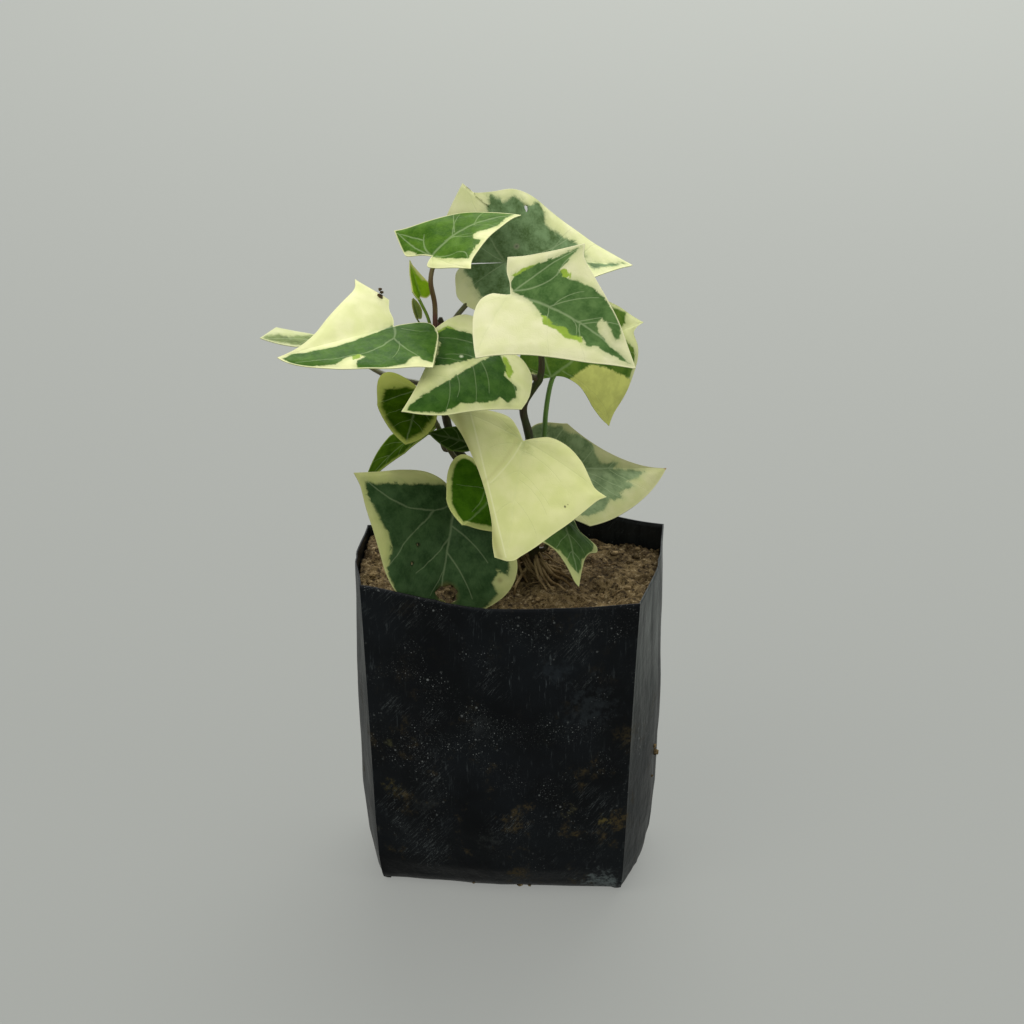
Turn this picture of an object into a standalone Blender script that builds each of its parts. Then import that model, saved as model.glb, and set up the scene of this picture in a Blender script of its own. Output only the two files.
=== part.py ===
"""Potted variegated ivy in a gusseted nursery bag.

One object per piece: the film bag, the soil, the stems and every leaf. A leaf is one grown
piece, its blade joined to its stalk. World units are metres, +Z is up, the origin is on the
floor under the middle of the bag and the bag's front panel faces -Y. The tables are in
millimetres and degrees, and the leaf outlines in shares of each leaf's own length.
"""
import math

import bmesh
import bpy
import numpy as np

MM = 0.001

# ---- driving dimensions, mm --------------------------------------------------------------
CLEAR = 0.3                 # gap kept between pieces that touch

BAG_HEIGHT = 117.0          # mean height of the rim
BAG_WALL = 0.7              # the film, thickened so that it is a solid
FRONT_HALF = 47.2           # half the front panel's width at the rim
BACK_HALF = 52.6            # half the back panel's width at the rim
FRONT_Y = -31.0             # the front creases
BACK_Y = 29.0               # the back creases
FRONT_BULGE = 8.0           # how far the middle of the front panel stands out
BACK_BULGE = 6.0
GUSSET_BULGE = 3.0          # the side gussets, pushed out by the soil
PANEL_STEPS = 6             # facets along each of the four panels
RIM_RISE = (2.0, -1.5, -1.0, 1.5, 1.5, 7.0, -3.0, -1.5)   # rim against its mean height, front
# left crease, front, front right, right gusset, back right, back, back left, left gusset
BAG_LEVELS = (   # height share, then front, back, depth, gusset and panel bulge against the rim
    (0.00, 0.885, 0.85, 0.72, 1.0, 0.15),
    (0.03, 0.895, 0.88, 0.81, 1.4, 0.35),
    (0.10, 0.908, 0.91, 0.90, 1.7, 0.65),
    (0.25, 0.925, 0.95, 0.96, 1.8, 0.90),
    (0.60, 0.955, 0.97, 1.00, 1.8, 1.05),
    (0.88, 0.985, 0.99, 1.00, 1.3, 1.00),
    (1.00, 1.000, 1.00, 1.00, 1.0, 1.00),
)

HEADSPACE = 7.0             # from the mean rim down to the soil at the middle of the bag
SOIL_LEVEL = BAG_HEIGHT - HEADSPACE
SOIL_SLOPE = 0.05           # it rises towards the back
SOIL_CROWN = 2.5            # and heaps up round the stems
SOIL_RINGS = 5

BLADE = 0.9                 # thickness of a leaf blade
STALK_R = 0.95              # radius of a leaf stalk
STALK_SIDES = 6
STALK_SEAT = 0.08           # where on the midrib a stalk meets its blade
STEM_SIDES = 8
TABLE_SOIL = 110.0          # the soil level that the heights in the two tables below start from
MARGIN_STEPS = (3, 4, 6)    # facets notch to shoulder, shoulder to lobe, lobe to tip
BLADE_ROWS = 3              # facets from the midrib to the margin

# ---- the stems: route and the radius at each end -------------------------------------------
STEMS = {
    "stem_left": dict(radius=(2.4, 1.4), route=[
        (3, 3, 103), (0, 1, 122), (-7, 0, 142), (-17, -1, 157), (-21, -1, 170), (-22, -2, 186),
        (-22, -3, 205)]),
    "stem_right": dict(radius=(2.3, 1.3), route=[
        (10, 2, 103), (9, 0, 122), (7, -3, 142), (8, -5, 162), (6, -7, 176), (12, -11, 189),
        (12, -16, 204)]),
}

# ---- the leaves ------------------------------------------------------------------------------
# base: where the veins meet. heading: compass direction of the midrib, 0 along +X and 90 along
# +Y; pitch: its rise; roll: lifts the left half. length: base to tip. lobe and shoulder: the two
# corners of each half, (along the midrib, away from it), left half first. bulge swells the
# margin between lobe and tip and skew moves the swelling towards the tip. fold: angle of each
# half at the midrib; curl: its further bending; droop bends the tip down; twist turns it.
# hinge: start of a crease that runs to the tip of the right half, and the angle beyond it.
# joins: the stem and the height at which the stalk leaves it, via: points on the stalk's way.
LEAVES = {
    "leaf_top_front": dict(
        base=(-24, -8, 228), heading=41, pitch=26, roll=3, length=37.5,
        lobe=[(0.01, 0.53), (0.06, 0.50)], shoulder=[(-0.10, 0.17), (-0.10, 0.14)],
        bulge=(0.04, -0.02), fold=(8, 3), droop=30, twist=3,
        joins=("stem_left", 203), via=[(-23.5, -6.5, 211), (-24.5, -9, 220)]),
    "leaf_top_back": dict(
        base=(-2, 14, 219), heading=9, pitch=0, roll=65, length=48,
        lobe=[(-0.26, 0.56), (0.14, 0.48)], shoulder=[(-0.42, 0.28), (-0.31, 0.23)],
        bulge=(0.06, 0.0), skew=(0.3, 0.0), fold=(-1, 25), droop=38, twist=-50,
        joins=("stem_left", 198), via=[(-15, 5, 206)]),
    "leaf_front_top": dict(
        base=(4, -34, 225), heading=-33, pitch=-12, roll=31, length=50,
        lobe=[(0.22, 0.52), (0.16, 0.55)], shoulder=[(-0.14, 0.19), (-0.11, 0.19)],
        bulge=(0.0, -0.03), skew=(0.0, -0.3), fold=(10, 8), droop=12, twist=2,
        joins=("stem_right", 201), via=[(9, -25, 212)]),
    "leaf_left": dict(
        base=(-36, -17, 206.5), heading=229, pitch=2, roll=-18, length=49.5,
        lobe=[(0.19, 0.59), (0.02, 0.42)], shoulder=[(-0.16, 0.22), (-0.07, 0.20)],
        bulge=(0.03, -0.03), fold=(13, 16), droop=-2, twist=-12,
        joins=("stem_left", 188), via=[(-29, -11, 196)]),
    "leaf_centre": dict(
        base=(-2, -15, 198.5), heading=238, pitch=0, roll=-20, length=48,
        lobe=[(0.22, 0.46), (0.31, 0.40)], shoulder=[(-0.11, 0.27), (-0.13, 0.40)],
        bulge=(0.07, -0.05), skew=(0.2, 0.0), fold=(-19, 0), droop=17, twist=5,
        joins=("stem_right", 187), via=[(5, -12, 191), (1, -14.5, 195)]),
    "leaf_front_cream": dict(
        base=(7, -20, 169), heading=-93, pitch=-31, roll=-8, length=44,
        lobe=[(0.33, 0.67), (-0.06, 0.62)], shoulder=[(-0.05, 0.35), (-0.16, 0.31)],
        bulge=(0.04, -0.05), skew=(0.0, -0.3), fold=(-10, 20), droop=21, twist=4,
        hinge=(-0.13, 0.48, 50), joins=("stem_right", 158), via=[(8, -12, 163)]),
    "leaf_low_dark": dict(
        base=(-17, -9, 141), heading=-100, pitch=-52, roll=-13, length=41.5,
        lobe=[(0.50, 0.57), (-0.03, 0.87)], shoulder=[(0.14, 0.41), (-0.15, 0.24)],
        bulge=(0.08, 0.11), skew=(0.2, 0.8), fold=(15, 23), droop=25, twist=-13,
        joins=("stem_left", 128), via=[(-10, -7, 134)]),
    "leaf_low_round": dict(
        base=(-1.5, -12, 148), heading=-121, pitch=-23, roll=-30, length=30,
        lobe=[(0.38, 0.36), (0.57, 0.38)], shoulder=[(-0.13, 0.22), (-0.01, 0.62)],
        bulge=(-0.04, 0.02), fold=(-28, -3), droop=-45, twist=2,
        joins=("stem_left", 134), via=[(-2, -6, 141)]),
    "leaf_right": dict(
        base=(11, 8, 147), heading=38, pitch=-13, roll=53, length=54,
        lobe=[(0.15, 0.30), (0.16, 0.47)], shoulder=[(-0.11, 0.28), (-0.09, 0.30)],
        bulge=(-0.06, 0.07), skew=(0.2, 0.0), fold=(32, 23), droop=-1, twist=3,
        joins=("stem_right", 128), via=[(10, 5, 137)]),
    "leaf_right_small": dict(
        base=(18.5, 2, 132.5), heading=-68, pitch=-33, roll=-31, length=28,
        lobe=[(0.37, 0.55), (0.47, 0.49)], shoulder=[(-0.13, 0.21), (-0.13, 0.22)],
        bulge=(-0.05, 0.01), fold=(-11, -1), droop=7, twist=1,
        joins=("stem_right", 118), via=[(14, 2, 124)]),
    "leaf_left_behind": dict(
        base=(-28.5, -9, 181), heading=-94, pitch=-18, roll=-15, length=31.5,
        lobe=[(0.33, 0.25), (0.35, 0.40)], shoulder=[(-0.13, 0.22), (-0.13, 0.44)],
        bulge=(0.06, 0.04), fold=(-9, -4), droop=-13, twist=1,
        joins=("stem_left", 151), via=[(-19, -5, 158), (-24, -8.5, 171)]),
    "leaf_left_edge": dict(
        base=(-28, -2, 165), heading=200, pitch=-32, roll=5, length=29,
        lobe=[(0.35, 0.26), (0.39, 0.37)], shoulder=[(-0.13, 0.22), (-0.13, 0.22)],
        bulge=(-0.03, 0.05), fold=(2, 7), droop=20, twist=-4,
        joins=("stem_left", 158), via=[(-23, -2, 162)]),
    "leaf_far_left": dict(
        base=(-64, 18, 187), heading=208, pitch=15, roll=0, length=24,
        lobe=[(0.57, 0.33), (0.63, 0.39)], shoulder=[(-0.13, 0.22), (-0.13, 0.20)],
        bulge=(0.01, 0.0), fold=(5, 3), droop=6, twist=-7,
        joins=("stem_left", 178), via=[(-41, 5, 180.5), (-53, 12.5, 183.5)]),
    "leaf_behind_top": dict(
        base=(15, -4, 185.5), heading=39, pitch=26, roll=31, length=45,
        lobe=[(0.24, 0.50), (0.34, 0.64)], shoulder=[(-0.13, 0.22), (0.11, 0.13)],
        bulge=(0.08, 0.04), skew=(0.1, -0.2), fold=(26, -31), curl=(0, -35), droop=34, twist=4,
        joins=("stem_right", 146), via=[(12, 0, 156), (13, 0, 172)]),
    "leaf_small_dark": dict(
        base=(-11, -11, 163.5), heading=184, pitch=16, roll=-50, length=15,
        lobe=[(0.40, 0.30), (0.40, 0.30)], shoulder=[(0.05, 0.22), (0.05, 0.22)],
        bulge=(0.03, 0.03), fold=(10, 10), droop=8, twist=0,
        joins=("stem_left", 148), via=[(-9, -7, 156)]),
    "leaf_young": dict(
        base=(-28, -8, 214), heading=135, pitch=60, roll=10, length=12.5,
        lobe=[(0.20, 0.30), (0.20, 0.30)], shoulder=[(-0.03, 0.20), (-0.03, 0.20)],
        bulge=(0.05, 0.05), fold=(28, 28), droop=-10, twist=0,
        joins=("stem_left", 200), via=[(-26, -7, 207)]),
    "leaf_bud": dict(
        base=(-29.5, -3, 204.5), heading=125, pitch=58, roll=10, length=7,
        lobe=[(0.30, 0.30), (0.30, 0.30)], shoulder=[(-0.02, 0.20), (-0.02, 0.20)],
        bulge=(0.08, 0.08), fold=(35, 35), droop=-10, twist=0,
        joins=("stem_left", 194), via=[(-27, -3, 199)]),
}
LEAF_DEFAULTS = dict(skew=(0.0, 0.0), curl=(0.0, 0.0), hinge=None)

COLOURS = {   # base colour, roughness
    "green": ((0.07, 0.16, 0.05), 0.4),
    "cream": ((0.72, 0.72, 0.42), 0.4),
    "stem": ((0.16, 0.10, 0.06), 0.6),
    "soil": ((0.11, 0.075, 0.045), 0.95),
    "film": ((0.012, 0.014, 0.018), 0.35),
}


# ---- general tools ---------------------------------------------------------------------------
def planted(point):
    """A point of the tables, raised or lowered with the soil."""
    return np.asarray(point, float) + (0.0, 0.0, SOIL_LEVEL - TABLE_SOIL)


def clear_scene():
    for thing in list(bpy.data.objects):
        bpy.data.objects.remove(thing, do_unlink=True)


def material(name):
    colour, roughness = COLOURS[name]
    mat = bpy.data.materials.get(name) or bpy.data.materials.new(name)
    mat.use_nodes = True
    shader = mat.node_tree.nodes["Principled BSDF"]
    shader.inputs["Base Color"].default_value = (*colour, 1.0)
    shader.inputs["Roughness"].default_value = roughness
    shader.inputs["Metallic"].default_value = 0.0
    mat.diffuse_color = (*colour, 1.0)
    return mat


def add_object(name, points_mm, faces, colour, closed=True):
    """A mesh object from points in millimetres; a closed one gets its faces turned outwards."""
    mesh = bpy.data.meshes.new(name)
    mesh.from_pydata([tuple(np.asarray(p, float) * MM) for p in points_mm], [], faces)
    if closed:
        work = bmesh.new()
        work.from_mesh(mesh)
        bmesh.ops.recalc_face_normals(work, faces=work.faces)
        work.to_mesh(mesh)
        work.free()
    mesh.materials.append(material(colour))
    obj = bpy.data.objects.new(name, mesh)
    bpy.context.scene.collection.objects.link(obj)
    return obj


def boolean(obj, other, operation):
    """A live EXACT Boolean; the other object stays as a hidden helper."""
    other.hide_render = True
    other.display_type = "WIRE"
    step = obj.modifiers.new(operation.lower() + "_" + other.name, "BOOLEAN")
    step.operation = operation
    step.solver = "EXACT"
    step.object = other


def bezier(p0, p1, p2, p3, steps):
    t = np.linspace(0.0, 1.0, steps + 1)[:, None]
    return (1 - t)**3 * p0 + 3 * (1 - t)**2 * t * p1 + 3 * (1 - t) * t * t * p2 + t**3 * p3


def smooth_route(points, steps):
    """A Catmull-Rom curve through the points."""
    p = np.asarray(points, float)
    p = np.vstack([2 * p[0] - p[1], p, 2 * p[-1] - p[-2]])
    out = []
    for a, b, c, d in zip(p[:-3], p[1:-2], p[2:-1], p[3:]):
        for t in np.arange(steps) / steps:
            out.append(0.5 * (2 * b + (c - a) * t + (2 * a - 5 * b + 4 * c - d) * t * t
                              + (3 * b - a - 3 * c + d) * t**3))
    return np.array(out + [p[-2]])


def tube(name, route, radii, sides, colour):
    """A closed round tube along a route, its radius running evenly between the two given."""
    route = np.asarray(route, float)
    count = len(route)
    ahead = np.gradient(route, axis=0)
    ahead /= np.linalg.norm(ahead, axis=1)[:, None]
    side = np.cross(ahead[0], (0.0, 1.0, 0.0) if abs(ahead[0][1]) < 0.9 else (1.0, 0.0, 0.0))
    points = []
    for i in range(count):
        side = side - ahead[i] * (side @ ahead[i])
        side /= np.linalg.norm(side)
        up = np.cross(ahead[i], side)
        r = radii[0] + (radii[1] - radii[0]) * i / (count - 1)
        for k in range(sides):
            a = 2 * math.pi * k / sides
            points.append(route[i] + r * (side * math.cos(a) + up * math.sin(a)))
    faces = [(i * sides + k, i * sides + (k + 1) % sides, (i + 1) * sides + (k + 1) % sides,
              (i + 1) * sides + k) for i in range(count - 1) for k in range(sides)]
    faces += [tuple(range(sides)), tuple((count - 1) * sides + k for k in range(sides))]
    return add_object(name, points, faces, colour)


# ---- the bag and the soil --------------------------------------------------------------------
def bag_ring(share, inset=0.0):
    """The bag's section at a share of its height, as points from the front left crease round by
    the right, moved in by inset."""
    levels = np.array(BAG_LEVELS)
    front, back, depth, gusset, panel = (np.interp(share, levels[:, 0], levels[:, i])
                                         for i in range(1, 6))
    corners = [(-FRONT_HALF * front, FRONT_Y * depth), (FRONT_HALF * front, FRONT_Y * depth),
               (BACK_HALF * back, BACK_Y * depth), (-BACK_HALF * back, BACK_Y * depth)]
    bulges = [(0, -FRONT_BULGE * panel), (GUSSET_BULGE * gusset, 0), (0, BACK_BULGE * panel),
              (-GUSSET_BULGE * gusset, 0)]
    ring = []
    for i, bulge in enumerate(bulges):
        a, b = np.array(corners[i]), np.array(corners[(i + 1) % 4])
        for t in np.arange(PANEL_STEPS) / PANEL_STEPS:
            ring.append(a + (b - a) * t + np.array(bulge) * math.sin(math.pi * t))
    ring = np.array(ring)
    if inset:
        before, after = np.roll(ring, 1, 0), np.roll(ring, -1, 0)
        n1, n2 = (np.stack([-(q - p)[:, 1], (q - p)[:, 0]], 1) / np.linalg.norm(q - p, axis=1)[:, None]
                  for p, q in ((before, ring), (ring, after)))
        mitre = n1 + n2
        ring = ring + inset * 2 * mitre / (mitre * mitre).sum(1)[:, None]
    return ring


def rim_height():
    """The rim's height at each point of a ring, easing from each corner or mid-panel to the next."""
    count = 4 * PANEL_STEPS
    at = np.arange(count) * 2 / PANEL_STEPS
    low = at.astype(int)
    ease = 0.5 - 0.5 * np.cos(math.pi * (at - low))
    rise = np.array(RIM_RISE)
    return BAG_HEIGHT + rise[low % 8] * (1 - ease) + rise[(low + 1) % 8] * ease


def make_bag():
    count = 4 * PANEL_STEPS
    rim = rim_height()
    points, rings = [], []

    def add_ring(share, inset, floor=None):
        flat = bag_ring(share, inset)
        z = np.full(count, floor) if floor is not None else rim * share
        rings.append(len(points))
        points.extend(np.column_stack([flat, z]))

    for share, *_ in BAG_LEVELS:
        add_ring(share, 0.0, 0.0 if share == 0 else None)
    for share, *_ in reversed(BAG_LEVELS):
        add_ring(share, BAG_WALL, BAG_WALL if share == 0 else None)
    faces = [(a + k, a + (k + 1) % count, b + (k + 1) % count, b + k)
             for a, b in zip(rings, rings[1:]) for k in range(count)]
    faces += [tuple(rings[0] + k for k in range(count)), tuple(rings[-1] + k for k in range(count))]
    return add_object("bag", points, faces, "film")


def soil_height(x, y):
    """The soil's surface: rising to the back, heaped round the stems and hollowed in front."""
    heap = SOIL_CROWN * math.exp(-((x - 6) ** 2 + (y - 2) ** 2) / 300.0)
    hollow = 6.5 * math.exp(-((x + 20) / 20.0) ** 2 - ((y + 26) / 10.0) ** 2)
    lumps = 0.8 * math.sin(0.21 * x + 1.0) * math.cos(0.26 * y) + 0.4 * math.sin(0.5 * x + 0.43 * y)
    return SOIL_LEVEL + SOIL_SLOPE * y + heap - hollow + lumps


def make_soil():
    count = 4 * PANEL_STEPS
    inset = BAG_WALL + 2 * CLEAR
    rim = rim_height()
    points, rings = [], []
    shares = [share for share, *_ in BAG_LEVELS if share * rim.max() < SOIL_LEVEL]
    top_share = SOIL_LEVEL / BAG_HEIGHT
    for share in shares:
        flat = bag_ring(share, inset)
        rings.append(len(points))
        z = np.full(count, inset) if share == 0 else rim * share
        points.extend(np.column_stack([flat, z]))
    edge = bag_ring(top_share, inset)
    for i in range(SOIL_RINGS):
        flat = edge * (1 - i / SOIL_RINGS)
        rings.append(len(points))
        points.extend((x, y, soil_height(x, y)) for x, y in flat)
    faces = [(a + k, a + (k + 1) % count, b + (k + 1) % count, b + k)
             for a, b in zip(rings, rings[1:]) for k in range(count)]
    points.append((0.0, 0.0, soil_height(0.0, 0.0)))
    last = len(points) - 1
    faces += [(rings[-1] + k, rings[-1] + (k + 1) % count, last) for k in range(count)]
    faces.append(tuple(rings[0] + k for k in range(count)))
    soil = add_object("soil", points, faces, "soil")
    for name, stem in STEMS.items():
        route = smooth_route(planted(stem["route"]), 3)[:5]
        start = route[0] - (route[1] - route[0]) / np.linalg.norm(route[1] - route[0]) * CLEAR
        hole = tube("hole_" + name, np.vstack([start, route[1:]]),
                    (stem["radius"][0] + CLEAR, stem["radius"][0] + CLEAR), STEM_SIDES, "soil")
        boolean(soil, hole, "DIFFERENCE")
    return soil


# ---- the leaves --------------------------------------------------------------------------------
def half_margin(lobe, shoulder, bulge, skew):
    """One half's margin from the notch round the shoulder and the lobe to the tip."""
    notch, tip = np.zeros(2), np.array([1.0, 0.0])
    lobe, shoulder = np.array(lobe, float), np.array(shoulder, float)
    reach = lobe - shoulder
    along = 0.5 * lobe / np.linalg.norm(lobe) + 0.5 * reach / np.linalg.norm(reach)
    back = bezier(notch, shoulder * (0.8, 0.15), shoulder - along * np.linalg.norm(shoulder) * 0.5,
                  shoulder, MARGIN_STEPS[0])
    side = bezier(shoulder, shoulder + along * np.linalg.norm(reach) * 0.35, lobe - reach * 0.3,
                  lobe, MARGIN_STEPS[1])
    run = tip - lobe
    out = np.array([-run[1], run[0]]) / np.linalg.norm(run)
    swell = out * bulge * 1.33
    front = bezier(lobe, lobe + run * 0.3 + swell * (1 - skew), lobe + run * 0.7 + swell * (1 + skew),
                   tip, MARGIN_STEPS[2])
    return np.concatenate([back[:-1], side[:-1], front])


def crease(flat, leaf):
    """Turns what lies beyond the hinge line of the right half down, round a soft bend."""
    along0, away0, angle = leaf["hinge"]
    length = leaf["length"]
    start, end = np.array([along0, -away0]) * length, np.array([length, 0.0])
    run = (end - start) / np.linalg.norm(end - start)
    out = np.array([run[1], -run[0]])
    turn, soft = math.radians(angle), 0.05 * length
    beyond = (flat - start) @ out
    swept = np.clip((beyond + soft / 2) / soft, 0, 1) * turn
    past = np.maximum(beyond - soft / 2, 0)
    move = np.where(beyond < -soft / 2, beyond,
                    -soft / 2 + np.sin(swept) * soft / turn + past * math.cos(turn))
    drop = -(1 - np.cos(swept)) * soft / turn - past * math.sin(turn)
    return start + ((flat - start) @ run)[:, None] * run + move[:, None] * out, drop


def blade_points(leaf, flat):
    """World points in mm of points on the leaf's flat pattern (along the midrib, to the left)."""
    length = leaf["length"]
    drop = np.zeros(len(flat))
    if leaf["hinge"]:
        flat, drop = crease(flat, leaf)
    u, away, left = flat[:, 0], np.abs(flat[:, 1]), flat[:, 1] >= 0
    fold = np.radians(np.where(left, *leaf["fold"]))
    bend = np.radians(np.where(left, *leaf["curl"])) / (0.55 * length)
    bend = np.where(np.abs(bend) < 1e-6, 1e-6, bend)
    angle = fold + bend * away
    y = (np.sin(angle) - np.sin(fold)) / bend - drop * np.sin(angle)
    z = (np.cos(fold) - np.cos(angle)) / bend + drop * np.cos(angle)
    y = np.where(left, y, -y)
    turn = np.radians(leaf["twist"]) * u / length
    y, z = y * np.cos(turn) - z * np.sin(turn), y * np.sin(turn) + z * np.cos(turn)
    arc = -math.radians(leaf["droop"] or 0.01) / length
    x = np.sin(arc * u) / arc - z * np.sin(arc * u)
    z = (1 - np.cos(arc * u)) / arc + z * np.cos(arc * u)
    h, p, r = (math.radians(leaf[k]) for k in ("heading", "pitch", "roll"))
    ahead = np.array([math.cos(h) * math.cos(p), math.sin(h) * math.cos(p), math.sin(p)])
    side = np.array([-math.sin(h), math.cos(h), 0.0])
    up = np.cross(ahead, side)
    side, up = side * math.cos(r) + up * math.sin(r), up * math.cos(r) - side * math.sin(r)
    return planted(leaf["base"]) + np.stack([x, y, z], 1) @ np.array([ahead, side, up])


def make_blade(name, leaf, colour):
    """The blade's middle surface, each half a grid from the midrib to the margin, made solid."""
    steps = sum(MARGIN_STEPS)
    rib = np.column_stack([(np.arange(steps + 1) / steps) ** 1.4, np.zeros(steps + 1)])
    flat, faces = list(rib), []
    for half, sign in enumerate((1, -1)):
        margin = half_margin(leaf["lobe"][half], leaf["shoulder"][half], leaf["bulge"][half],
                             leaf["skew"][half]) * (1, sign)
        index = {}
        for i in range(steps + 1):
            for j in range(BLADE_ROWS + 1):
                if j == 0 or i in (0, steps):
                    index[i, j] = i
                else:
                    index[i, j] = len(flat)
                    flat.append(rib[i] + (margin[i] - rib[i]) * j / BLADE_ROWS)
        for i in range(steps):
            for j in range(BLADE_ROWS):
                corners = [index[i, j], index[i + 1, j], index[i + 1, j + 1], index[i, j + 1]]
                corners = list(dict.fromkeys(corners))
                if len(corners) > 2:
                    faces.append(corners if sign > 0 else corners[::-1])
    points = blade_points(leaf, np.array(flat) * leaf["length"])
    obj = add_object(name, points, faces, colour, closed=False)
    solid = obj.modifiers.new("thickness", "SOLIDIFY")
    solid.thickness = BLADE * MM
    solid.offset = 0.0
    return obj


def stalk_route(leaf):
    """From the side of the stem, square to it, by the given points to the blade."""
    stem_name, height = leaf["joins"]
    stem = STEMS[stem_name]
    line = smooth_route(planted(stem["route"]), 8)
    i = min(int(np.searchsorted(line[:, 2], planted((0, 0, height))[2])), len(line) - 2)
    share = i / (len(line) - 1)
    radius = stem["radius"][0] + (stem["radius"][1] - stem["radius"][0]) * share
    axis = line[i + 1] - line[i - 1]
    axis /= np.linalg.norm(axis)
    seat = blade_points(leaf, np.array([[STALK_SEAT * leaf["length"], 0.0]]))[0]
    via = [planted(v) for v in leaf["via"]]
    out = via[0] - line[i]
    out -= axis * (out @ axis)
    out /= np.linalg.norm(out)
    start = line[i] + out * (radius + 2 * CLEAR)
    return smooth_route([start, start + out * 1.2, *via, seat], 4)


def make_leaf(name, spec):
    leaf = {**LEAF_DEFAULTS, **spec}
    colour = "cream" if name == "leaf_front_cream" else "green"
    blade = make_blade(name, leaf, colour)
    small = min(1.0, leaf["length"] / 20.0)
    stalk = tube("stalk_of_" + name, stalk_route(leaf), (STALK_R * small, STALK_R * small * 0.8),
                 STALK_SIDES, "stem")
    boolean(blade, stalk, "UNION")


def main():
    clear_scene()
    make_bag()
    make_soil()
    for name, stem in STEMS.items():
        tube(name, smooth_route(planted(stem["route"]), 3), stem["radius"], STEM_SIDES, "stem")
    for name, spec in LEAVES.items():
        make_leaf(name, spec)


main()
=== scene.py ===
"""Looks of the potted variegated ivy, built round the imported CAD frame.

Every CAD node is replaced by a finer piece made by the same rules as the CAD: the film bag, the
soil with its crumbs and roots, the two stems, and each leaf with its stalk. Tables are in
millimetres and degrees, and leaf patterns in shares of each leaf's own length, (along the
midrib, to the left of it). Each leaf is painted from its own table: where it is green, where
lime, its veins and its spots.
"""
import math

import bmesh
import bpy
import numpy as np
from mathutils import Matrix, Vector


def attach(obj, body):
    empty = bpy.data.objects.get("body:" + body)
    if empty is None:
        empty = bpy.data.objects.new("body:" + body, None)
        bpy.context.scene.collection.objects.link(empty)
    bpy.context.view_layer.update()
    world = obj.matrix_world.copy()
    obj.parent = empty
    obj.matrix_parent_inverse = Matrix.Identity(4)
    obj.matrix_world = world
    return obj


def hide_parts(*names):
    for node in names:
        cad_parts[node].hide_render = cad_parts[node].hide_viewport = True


MM = 0.001
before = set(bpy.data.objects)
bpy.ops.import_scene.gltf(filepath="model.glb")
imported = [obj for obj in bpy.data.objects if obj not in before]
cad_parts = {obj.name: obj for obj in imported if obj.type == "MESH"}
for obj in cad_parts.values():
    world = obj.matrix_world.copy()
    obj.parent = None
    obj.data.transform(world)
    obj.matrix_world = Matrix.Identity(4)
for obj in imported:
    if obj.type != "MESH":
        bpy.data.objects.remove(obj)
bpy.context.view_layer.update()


def shares(*hundredths):
    """Points on a leaf, (along the midrib, to the left), from hundredths of the leaf's length."""
    values = [value / 100 for value in hundredths]
    return list(zip(values[::2], values[1::2]))


# ---- the CAD's own driving sizes, mm ---------------------------------------------------------
CLEAR = 0.3
BAG_HEIGHT = 117.0
FRONT_HALF = 47.2
BACK_HALF = 52.6
FRONT_Y = -31.0
BACK_Y = 29.0
FRONT_BULGE = 8.0
BACK_BULGE = 6.0
GUSSET_BULGE = 3.0
RIM_RISE = (2.0, -1.5, -1.0, 1.5, 1.5, 7.0, -3.0, -1.5)
BAG_LEVELS = (
    (0.00, 0.885, 0.85, 0.72, 1.0, 0.15),
    (0.03, 0.895, 0.88, 0.81, 1.4, 0.35),
    (0.10, 0.908, 0.91, 0.90, 1.7, 0.65),
    (0.25, 0.925, 0.95, 0.96, 1.8, 0.90),
    (0.60, 0.955, 0.97, 1.00, 1.8, 1.05),
    (0.88, 0.985, 0.99, 1.00, 1.3, 1.00),
    (1.00, 1.000, 1.00, 1.00, 1.0, 1.00),
)
SOIL_LEVEL = 110.0
SOIL_SLOPE = 0.05
SOIL_CROWN = 2.5
STALK_R = 0.95
STALK_SEAT = 0.08
MARGIN_STEPS = (3, 4, 6)

STEMS = {
    "stem_left": dict(radius=(2.4, 1.4), route=[
        (3, 3, 103), (0, 1, 122), (-7, 0, 142), (-17, -1, 157), (-21, -1, 170), (-22, -2, 186),
        (-22, -3, 205)]),
    "stem_right": dict(radius=(2.3, 1.3), route=[
        (10, 2, 103), (9, 0, 122), (7, -3, 142), (8, -5, 162), (6, -7, 176), (12, -11, 189),
        (12, -16, 204)]),
}
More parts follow.
